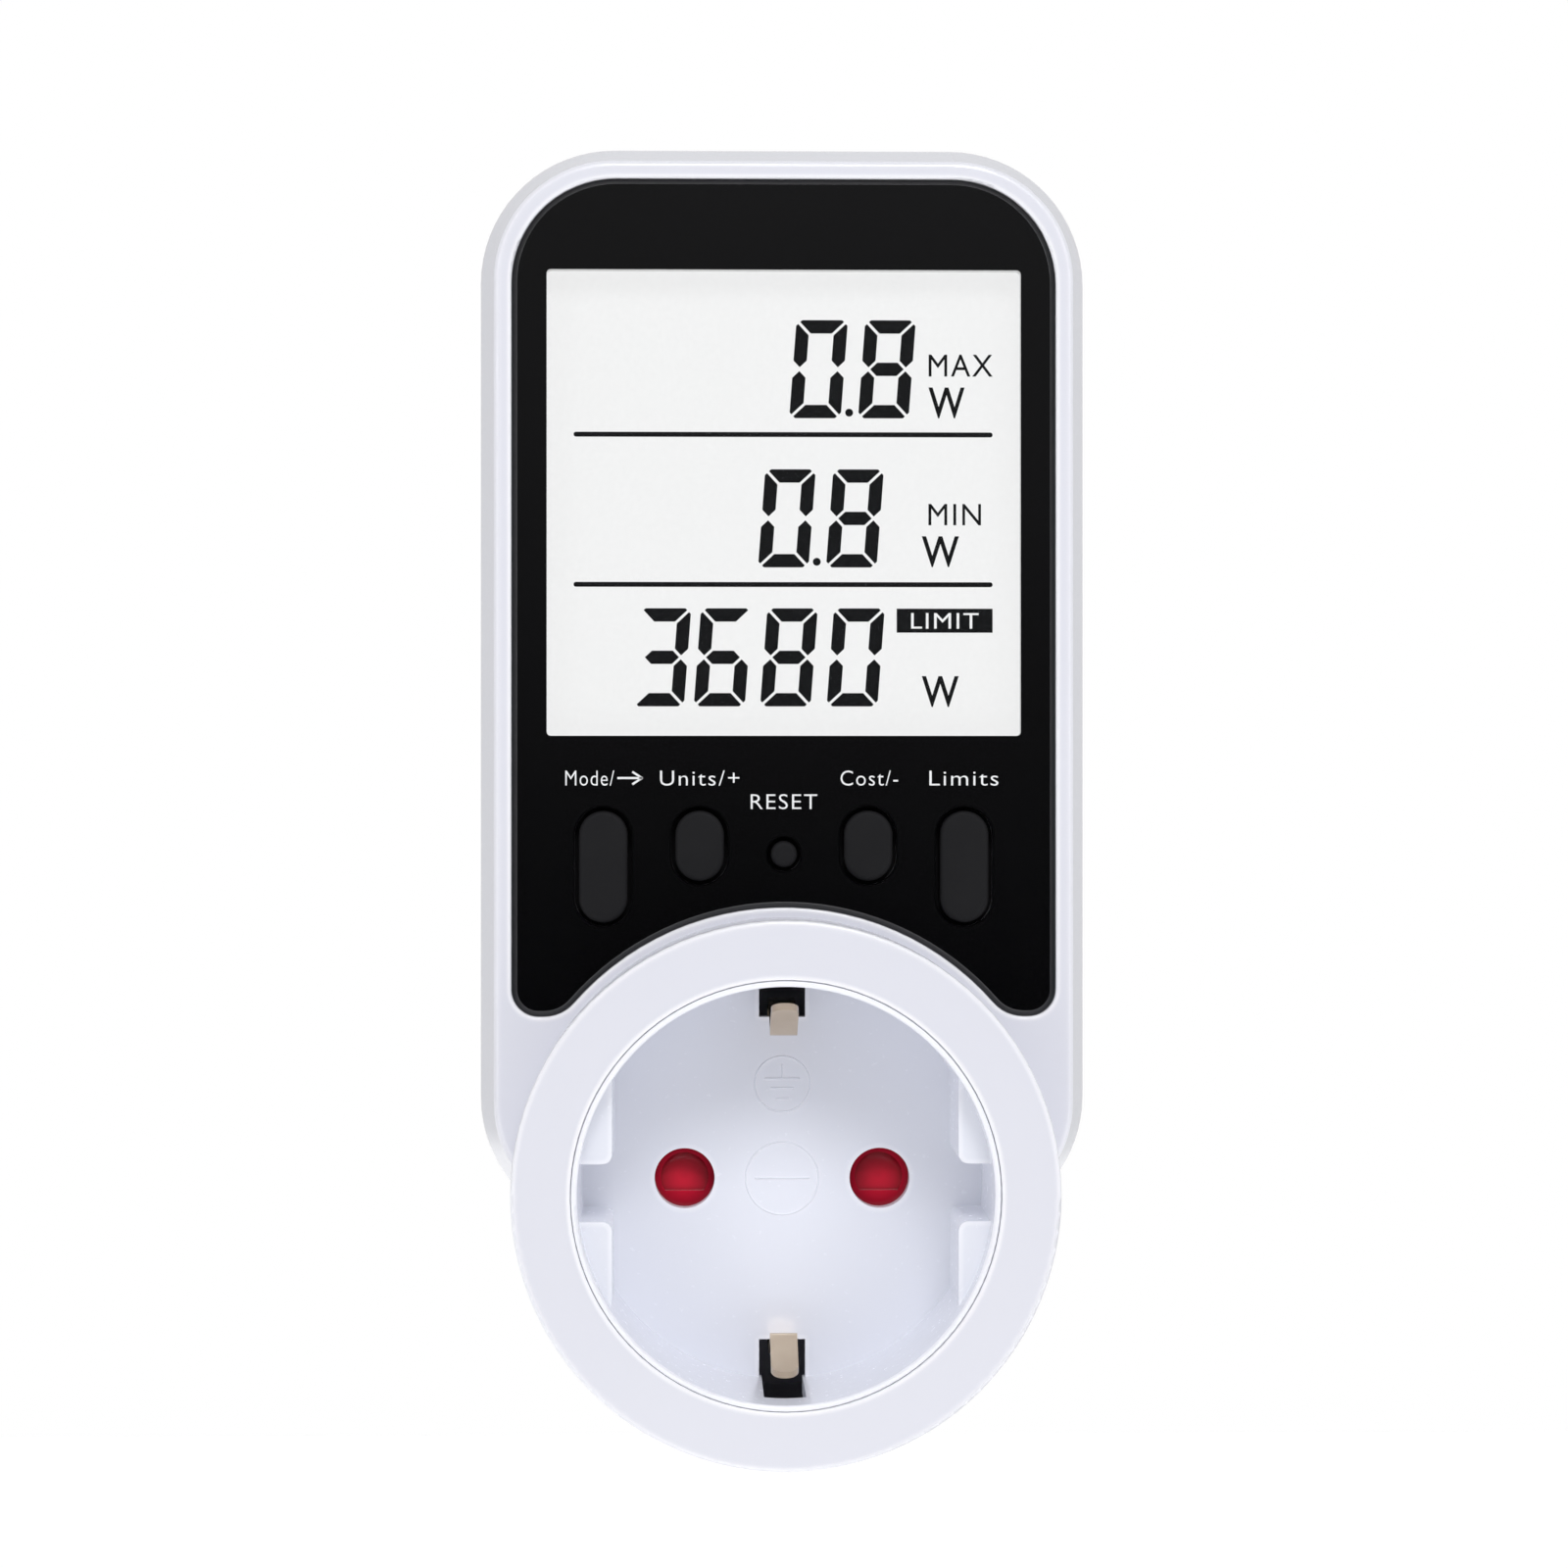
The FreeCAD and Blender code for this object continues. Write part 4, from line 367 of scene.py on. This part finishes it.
# %% Inks
legend_ink = moulded("pad_print_white", "f4f5f6", "e6e8ea", 0.5, cloud_mm=0.6, grain_mm=0.2)
figure_ink = moulded("lcd_segment_black", "0c0d0f", "121315", 0.5, cloud_mm=4, grain_mm=0.3,
                     grain_depth_mm=0.001, level=0.1)
reverse_ink = moulded("lcd_reverse_white", "f0f1f2", "e8eaea", 0.4, cloud_mm=4, glow=0.2)
INK = 0.03 * MM     # thickness of the ink
SUNK = 0.01 * MM    # how much of it lies below the surface, so that no gap shows
print("inks:", legend_ink.name, figure_ink.name, reverse_ink.name)

# %% [markdown]
# Every added piece goes through the same steps: merge doubles, turn the faces outwards, make the
# object and let it ride on a body. Flat shapes are drawn as rectangles at depth nought, and then
# all of them get the ink's thickness at once, by an extrusion.

# %% Helpers for added pieces

def placed(name, bm, material, body="housing", smooth=False):
    """Turns a bmesh into a piece that rides on a body."""
    bmesh.ops.remove_doubles(bm, verts=bm.verts, dist=1e-7)
    bmesh.ops.recalc_face_normals(bm, faces=bm.faces)
    mesh = bpy.data.meshes.new(name)
    bm.to_mesh(mesh)
    bm.free()
    mesh.materials.append(material)
    for polygon in mesh.polygons:
        polygon.use_smooth = smooth
    piece = bpy.data.objects.new(name, mesh)
    bpy.context.scene.collection.objects.link(piece)
    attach(piece, body)
    print(name, len(mesh.polygons), "faces")
    return piece


def quad(bm, x0, x1, z0, z1):
    """A flat rectangle facing the front, at depth nought; gives its faces."""
    made = bmesh.ops.create_grid(bm, x_segments=1, y_segments=1, size=0.5)["verts"]
    size = Matrix.Diagonal((x1 - x0, z1 - z0, 1, 1))
    turn = Matrix.Rotation(math.radians(90), 4, "X")
    place = Matrix.Translation(((x0 + x1) / 2, 0, (z0 + z1) / 2))
    bmesh.ops.transform(bm, matrix=place @ turn @ size, verts=made)
    return list({face for vert in made for face in vert.link_faces})


def inked(bm, y):
    """Gives flat shapes the ink's thickness and lays them on a surface that faces the front."""
    flat = list(bm.faces)
    grown = bmesh.ops.extrude_face_region(bm, geom=flat)
    front = [item for item in grown["geom"] if isinstance(item, bmesh.types.BMVert)]
    bmesh.ops.translate(bm, verts=front, vec=(0, -INK, 0))
    bmesh.ops.translate(bm, verts=bm.verts, vec=(0, y + SUNK, 0))


# Where the two inked surfaces are, from the frame.
display_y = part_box("lcd_glass")[0].y
panel_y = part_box("display_panel")[0].y
print("display face", round(display_y / MM, 2), "panel face", round(panel_y / MM, 2))

# %% [markdown]
# A seven-segment figure starts as seven plain bars. Each bar is then cut back by slanted planes: a
# mitre with a small gap where two bars meet at a corner, a nipped outer corner, and a point where
# four bars meet at the middle. Cutting planes give all seven shapes from one rule, and a shear at
# the end leans the figure to the right.

# %% Seven-segment figures
BAR = 1.28          # width of a bar
GAP = 0.26          # clear gap between two bars
NIP = 0.56          # how much of the figure's outer corner is cut off
LEAN = 0.075        # lean to the right, per unit of height
POINT = 0.38        # radius of the decimal point
HEIGHT = 9.43       # of a figure
# The bars are lettered as usual: a on top, then clockwise to f, and g in the middle.
BARS = {"0": "abcdef", "3": "abcdg", "6": "acdefg", "8": "abcdefg"}


def keep_side(bm, faces, point, normal):
    """Cuts away what lies on the side that normal points to."""
    geom = list(faces) + list({e for f in faces for e in f.edges}) + list({v for f in faces for v in f.verts})
    cut = bmesh.ops.bisect_plane(bm, geom=geom, plane_co=point, plane_no=normal, clear_outer=True)
    return [item for item in cut["geom"] if isinstance(item, bmesh.types.BMFace)]


def bar(bm, letter, w):
    """One bar of a figure that is w wide, with its lower left corner at the origin."""
    h, t, g, middle = HEIGHT, BAR, GAP / 2, HEIGHT / 2
    spans = {"a": (0, w, h - t, h), "d": (0, w, 0, t), "g": (0, w, middle - t / 2, middle + t / 2),
             "b": (w - t, w, middle, h), "c": (w - t, w, 0, middle),
             "e": (0, t, 0, middle), "f": (0, t, middle, h)}
    faces = quad(bm, *(v * MM for v in spans[letter]))
    root = math.sqrt(0.5)

    def trim(x, z, nx, nz, back):
        nonlocal faces
        normal = Vector((nx, 0, nz)).normalized()
        faces = keep_side(bm, faces, (Vector((x, 0, z)) - normal * back) * MM, normal)

    for side, x in ((-1, 0), (1, w)):
        if letter in "ad":
            up = 1 if letter == "a" else -1
            z = h if letter == "a" else 0
            trim(x, z, side, -up, g)
            trim(x, z, side, up, NIP * root)
        elif letter == "g":
            for up in (-1, 1):
                trim(x - side * t / 2, middle, side, up, g)
    if letter in "bcef":
        side, x = (1, w) if letter in "bc" else (-1, 0)
        up, z = (1, h) if letter in "bf" else (-1, 0)
        trim(x, z, -side, up, g)
        trim(x, z, side, up, NIP * root)
        for way in (-1, 1):
            trim(x - side * t / 2, middle, way, -up, g)
    return {vert for face in faces for vert in face.verts}


def figure(bm, digit, left, right, foot):
    """One digit between left and right, the lean included, standing on foot."""
    verts = set()
    for letter in BARS[digit]:
        verts |= bar(bm, letter, right - left - LEAN * HEIGHT)
    lean = Matrix.Identity(4)
    lean[0][2] = LEAN
    bmesh.ops.transform(bm, matrix=Matrix.Translation((left * MM, 0, foot * MM)) @ lean, verts=list(verts))


# A row is its foot, its digits with their left and right sides, and the place of its point.
ROWS = [
    (73.58, [("0", 0.56, 6.22), ("8", 7.18, 12.76)], (6.33, 74.12)),
    (59.23, [("0", -2.44, 3.13), ("8", 4.10, 9.68)], (3.22, 59.77)),
    (45.86, [("3", -14.49, -8.85), ("6", -8.62, -3.0), ("8", -2.24, 3.32), ("0", 4.16, 9.76)], None),
]
bm = bmesh.new()
for foot, digits, dot in ROWS:
    for digit, left, right in digits:
        figure(bm, digit, left, right, foot)
    if dot:
        spot = bmesh.ops.create_circle(bm, cap_ends=True, segments=24, radius=POINT * MM)["verts"]
        turn = Matrix.Rotation(math.radians(90), 4, "X")
        bmesh.ops.transform(bm, matrix=Matrix.Translation((dot[0] * MM, 0, dot[1] * MM)) @ turn, verts=spot)
inked(bm, display_y)
figures = placed("display_figures", bm, figure_ink)

# %% [markdown]
# The rows of the display are parted by two rules with round ends, and a dark flag with reversed
# letters shows that a limit is set.

# %% Rules and flag
RULES = (72.0, 57.58)
HALF_RULE = 0.235
LEFT, RIGHT = -20.15, 20.15     # both rules and the flag end at the display's margin

bm = bmesh.new()
for z in RULES:
    half = HALF_RULE
    faces = quad(bm, LEFT * MM, RIGHT * MM, (z - half) * MM, (z + half) * MM)
    corners = list({v for f in faces for v in f.verts})
    bmesh.ops.bevel(bm, geom=corners, offset=half * 0.98 * MM, affect="VERTICES", segments=5, profile=0.5,
                    material=-1)
inked(bm, display_y)
placed("display_rules", bm, figure_ink)

bm = bmesh.new()
quad(bm, 10.91 * MM, RIGHT * MM, 52.96 * MM, 55.27 * MM)
inked(bm, display_y)
placed("limit_flag", bm, figure_ink)

# %% [markdown]
# Letters come from Blender's own font. A text is a curve, so it is turned into a mesh first and
# measured, and then scaled to the height of a capital and to the length that the printed word has.
# weight makes the strokes bolder. It stays at nought where a word holds an M, whose narrow inner
# corners a bolder outline would fill.

# %% Lettering helpers
SPREAD = 1.12       # space between letters, against the font's own
BOLD = 0.012        # outline offsets, per unit of type size
PLAIN = 0.0
THIN = -0.006
LEGEND_CAP = 1.43   # height of a capital on the panel


def glyphs(words, weight):
    """A bmesh of the words, facing the front, one unit of type size high and one unit thick."""
    curve = bpy.data.curves.new("words", "FONT")
    curve.body = words
    curve.extrude = 0.5
    curve.offset = weight
    curve.space_character = SPREAD
    curve.resolution_u = 4
    holder = bpy.data.objects.new("words", curve)
    bpy.context.scene.collection.objects.link(holder)
    mesh = bpy.data.meshes.new_from_object(holder.evaluated_get(bpy.context.evaluated_depsgraph_get()))
    bpy.data.objects.remove(holder)
    bpy.data.curves.remove(curve)
    bm = bmesh.new()
    bm.from_mesh(mesh)
    bpy.data.meshes.remove(mesh)
    bmesh.ops.rotate(bm, verts=bm.verts, matrix=Matrix.Rotation(math.radians(90), 3, "X"))
    return bm


def span(bm, axis):
    """The smallest and largest place of a bmesh along one axis."""
    values = [vert.co[axis] for vert in bm.verts]
    return min(values), max(values)


def lettering(name, words, left, right, foot, cap, y, material, weight):
    """Words from left to right on a baseline, with capitals of a given height, all in millimetres."""
    capital = glyphs("H", 0.0)
    tall = span(capital, 2)[1]
    capital.free()
    bm = glyphs(words, weight)
    x0, x1 = span(bm, 0)
    wide = (right - left) / (x1 - x0) * MM
    bmesh.ops.translate(bm, verts=bm.verts, vec=(-x0, -0.5, 0))
    bmesh.ops.scale(bm, verts=bm.verts, vec=(wide, INK, cap / tall * MM))
    bmesh.ops.translate(bm, verts=bm.verts, vec=(left * MM, y + SUNK, foot * MM))
    return placed(name, bm, material)


# %% [markdown]
# The words on the display stand at the end of each row. The flag's letters are a white ink that lies
# on the dark one, so they are a little further out.

# %% Words on the display
for name, words, left, right, foot, cap, weight in (
    ("word_max", "MAX", 13.99, 20.15, 77.62, 2.1, PLAIN),
    ("unit_watt_1", "W", 13.97, 17.46, 73.66, 2.85, BOLD),
    ("word_min", "MIN", 13.97, 19.03, 63.3, 2.05, PLAIN),
    ("unit_watt_2", "W", 13.33, 16.91, 59.34, 2.85, BOLD),
    ("unit_watt_3", "W", 13.33, 16.89, 45.88, 2.85, BOLD),
):
    lettering(name, words, left, right, foot, cap, display_y, figure_ink, weight)
lettering("limit_word", "LIMIT", 12.3, 18.8, 53.35, 1.5, display_y - 0.02 * MM, reverse_ink, PLAIN)

# %% [markdown]
# The legends are printed on the panel above each key. The first key also has an arrow, which is a
# long stroke and two short barbs that meet at its tip.

# %% Legends on the panel
for name, words, left, right, foot in (
    ("legend_mode", "Mode/", -20.86, -16.2, 38.25),
    ("legend_units", "Units/+", -11.83, -4.26, 38.25),
    ("legend_reset", "RESET", -3.18, 3.18, 36.0),
    ("legend_cost", "Cost/-", 5.4, 10.9, 38.25),
    ("legend_limits", "Limits", 13.9, 20.5, 38.25),
):
    lettering(name, words, left, right, foot, LEGEND_CAP, panel_y, legend_ink, THIN)

bm = bmesh.new()
quad(bm, -15.9 * MM, -13.6 * MM, 38.87 * MM, 39.07 * MM)
for up in (-1, 1):
    faces = quad(bm, -1.1 * MM, 0.05 * MM, -0.1 * MM, 0.1 * MM)
    verts = list({v for f in faces for v in f.verts})
    turn = Matrix.Rotation(math.radians(up * 33), 4, "Y")
    bmesh.ops.transform(bm, matrix=Matrix.Translation((-13.55 * MM, 0, 38.97 * MM)) @ turn, verts=verts)
inked(bm, panel_y)
placed("legend_arrow", bm, legend_ink)

# %% [markdown]
# The outlet's floor carries marks that were engraved in the mould and stand a tenth of a millimetre
# proud: the earth sign in its ring, and a larger ring with a bar. A ring is a small round profile
# spun about the ring's own axis, sunk halfway into the floor.

# %% Raised marks in the outlet
floor_y = -26.5 * MM     # the outlet's floor, two millimetres in front of the shutter's cover
RIDGE = 0.1         # radius of a raised line, half of which stands proud
ROUND = 0.09        # how far a straight line's edges are rounded


def ring(bm, x, z, radius):
    """A raised ring with a round profile."""
    profile = bmesh.ops.create_circle(bm, segments=10, radius=RIDGE * MM)["verts"]
    bmesh.ops.translate(bm, verts=profile, vec=((x + radius) * MM, 0, 0))
    rim = list({edge for vert in profile for edge in vert.link_edges})
    bmesh.ops.spin(bm, geom=profile + rim, cent=(x * MM, 0, 0), axis=(0, 1, 0), angle=math.tau, steps=72,
                   use_merge=True)


def ridge(bm, x, z, length, upright=False):
    """A straight raised line with rounded edges."""
    verts = bmesh.ops.create_cube(bm, size=1.0)["verts"]
    long, short = length * MM, 2 * RIDGE * MM
    size = (short, short, long) if upright else (long, short, short)
    bmesh.ops.scale(bm, verts=verts, vec=size)
    bmesh.ops.translate(bm, verts=verts, vec=(x * MM, floor_y, z * MM))
    edges = list({edge for vert in verts for edge in vert.link_edges})
    bmesh.ops.bevel(bm, geom=edges, offset=ROUND * MM, affect="EDGES", segments=2, profile=0.5, material=-1)


# Each mark is its height, its ring's radius, and its lines: place across, rise, length, upright.
for name, z, radius, lines in (
    ("earth_mark", 9.15, 2.7, [(0, 1.25, 1.42, True), (0, 0.54, 3.5, False), (0, -0.38, 2.3, False),
                               (0, -1.4, 1.3, False)]),
    ("centre_mark", 0.0, 3.55, [(0, 0.0, 5.4, False)]),
):
    bm = bmesh.new()
    ring(bm, 0, z, radius)
    bmesh.ops.translate(bm, verts=bm.verts, vec=(0, floor_y, z * MM))
    for x, rise, length, upright in lines:
        ridge(bm, x, z + rise, length, upright)
    placed(name, bm, finishes["cup_mark"], smooth=True)

# %% [markdown]
# The shutter is pushed up by one small coil. A coil is a circle of wire spun about the coil's axis
# while it climbs, which is what spin's dvec is for. It stands in for the frame's own coil, which is
# hidden; the real coil shortens as the shutter comes down. Both ends of the wire are capped, so the
# coil is a closed solid.

# %% Shutter spring
low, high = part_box("shutter_spring")
middle = (low + high) / 2
wire = 0.2 * MM     # radius of the wire
reach = (high.x - low.x) / 2 - wire
TURNS, STEPS = 7, 24
bm = bmesh.new()
start = bmesh.ops.create_circle(bm, segments=10, radius=wire)["verts"]
bmesh.ops.rotate(bm, verts=start, matrix=Matrix.Rotation(math.radians(90), 3, "X"))
bmesh.ops.translate(bm, verts=start, vec=(middle.x + reach, middle.y, low.z + wire))
rim = list({edge for vert in start for edge in vert.link_edges})
climb = (high.z - low.z - 2 * wire) / (TURNS * STEPS)
bmesh.ops.contextual_create(bm, geom=rim)
bmesh.ops.spin(bm, geom=start + rim, cent=(middle.x, middle.y, 0), axis=(0, 0, 1), dvec=(0, 0, climb),
               angle=TURNS * math.tau, steps=TURNS * STEPS)
open_rim = [edge for edge in bm.edges if edge.is_boundary]
bmesh.ops.contextual_create(bm, geom=open_rim)
spring = placed("shutter_coil", bm, finishes["spring_steel"], smooth=True)
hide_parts("shutter_spring")
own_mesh(spring)

# %% [markdown]
# A small product is shown on a pale sweep under soft light from all round. The world is that
# soft light, and it depends on the direction. It is dim straight ahead, where a studio has its
# camera, so that black gloss stays black. A bright ring lies round that dark spot, which lights the
# front faces evenly. The sides and the back are of medium strength, and everything grows brighter
# towards the top. Only the camera sees plain white. One softbox above adds a soft shadow.

# %% World
DUSK = 0.14             # strength straight ahead, above the horizon
FRONT, BACK = 0.25, 0.66    # strength of the front half and the back half
RING = 1.9              # strength that the ring adds
LOW, HIGH = 0.8, 1.15   # factor below and above

world = bpy.data.worlds.new("studio")
bpy.context.scene.world = world
world.use_nodes = True
tree = world.node_tree
tree.nodes.clear()
way = add(tree, "TexCoord").outputs["Generated"]
split = add(tree, "SeparateXYZ", feeds={"Vector": way})
dusk = add(tree, "MapRange", {"From Min": -0.06, "From Max": 0.2, "To Min": 0.0, "To Max": DUSK},
           {"Value": split.outputs["Z"]})
ahead = add(tree, "MapRange", {"interpolation_type": "SMOOTHSTEP", "From Min": -0.97, "From Max": -0.85},
            {"Value": split.outputs["Y"]})
beside = add(tree, "MapRange", {"interpolation_type": "SMOOTHSTEP", "From Min": -0.35, "From Max": 0.05,
                                "To Min": FRONT, "To Max": BACK}, {"Value": split.outputs["Y"]})
ring_in = add(tree, "MapRange", {"interpolation_type": "SMOOTHSTEP", "From Min": -0.83, "From Max": -0.77,
                                 "To Max": RING}, {"Value": split.outputs["Y"]})
ring_out = add(tree, "MapRange", {"interpolation_type": "SMOOTHSTEP", "From Min": -0.68, "From Max": -0.6,
                                  "To Min": 1.0, "To Max": 0.0}, {"Value": split.outputs["Y"]})
ring_light = add(tree, "Math", {"operation": "MULTIPLY"}, {0: ring_in.outputs[0], 1: ring_out.outputs[0]})
around = add(tree, "Math", {"operation": "ADD"}, {0: beside.outputs[0], 1: ring_light.outputs[0]})
above = add(tree, "MapRange", {"From Min": -0.8, "From Max": 0.9, "To Min": LOW, "To Max": HIGH},
            {"Value": split.outputs["Z"]})
open_sky = add(tree, "Math", {"operation": "MULTIPLY"}, {0: around.outputs[0], 1: above.outputs[0]})
light = add(tree, "Mix", {"data_type": "FLOAT"},
            {0: ahead.outputs[0], 2: dusk.outputs[0], 3: open_sky.outputs[0]})
seen = add(tree, "LightPath").outputs["Is Camera Ray"]
strength = add(tree, "Mix", {"data_type": "FLOAT", 3: 1.0}, {0: seen, 2: light.outputs[0]})
back = add(tree, "Background", {"Color": linear("ffffff")}, {"Strength": strength.outputs[0]})
add(tree, "OutputWorld", feeds={"Surface": back.outputs[0]})


print("world: soft light with a ring ahead")

# %% Softbox
lamp = bpy.data.lights.new("key_top", "AREA")
lamp.size, lamp.energy = 0.22, 1.6
holder = bpy.data.objects.new("key_top", lamp)
bpy.context.scene.collection.objects.link(holder)
place, aim = Vector((0.06, -0.6, 0.5)), Vector((0, -0.03, 0.03))
holder.location = place
holder.rotation_euler = (aim - place).to_track_quat("-Z", "Y").to_euler()
print("softbox", round((aim - place).length, 2), "m from the object")

# %% [markdown]
# The sweep is paper below the object. It is kept small, so that the black panel doesn't mirror it.

# %% Floor
FLOOR_HALF = 0.8
FLOOR_DROP = 0.16       # below the outlet's axis

bm = bmesh.new()
bmesh.ops.create_grid(bm, x_segments=1, y_segments=1, size=FLOOR_HALF)
bmesh.ops.translate(bm, verts=bm.verts, vec=(0, 0, -FLOOR_DROP))
mesh = bpy.data.meshes.new("floor")
bm.to_mesh(mesh)
bm.free()
floor = bpy.data.objects.new("floor", mesh)
bpy.context.scene.collection.objects.link(floor)
material, tree = blank("paper_sweep_white")
where = add(tree, "TexCoord").outputs["Object"]
fibre = add(tree, "TexNoise", {"Scale": 1000 / 6, "Detail": 3.0}, {"Vector": where})
tint = add(tree, "Mix", {"data_type": "RGBA", 6: linear("fafafa"), 7: linear("f7f7f7")},
           {0: fibre.outputs["Fac"]})
shader = add(tree, "BsdfPrincipled", {"Roughness": 0.9, "Specular IOR Level": 0.1, "Emission Strength": 0.35,
                                      "Emission Color": linear("ffffff")}, {"Base Color": tint.outputs[2]})
finish_off(tree, shader)
mesh.materials.append(material)
print("floor", round(floor.dimensions.x, 2), "m wide")

# %% [markdown]
# The camera looks at the front from 41 cm, level with the middle of the object and a little to its
# left, so that deep floors sit slightly left of the rims in front of them.

# %% Camera
ASIDE, AWAY, UP = 0.0088, 0.414, 0.0384
FRONT_FACE = 0.0345     # how far the front face stands out

lens = bpy.data.cameras.new("camera")
lens.sensor_width = 36.0
lens.lens = 91.3
camera = bpy.data.objects.new("camera", lens)
bpy.context.scene.collection.objects.link(camera)
camera.location = (-ASIDE, -AWAY, UP)
camera.rotation_euler = (math.radians(90), 0, -math.atan(ASIDE / (AWAY - FRONT_FACE)))
bpy.context.scene.camera = camera
bpy.context.scene.view_settings.view_transform = "Standard"
print("camera", round(AWAY - FRONT_FACE, 3), "m in front of the front face")
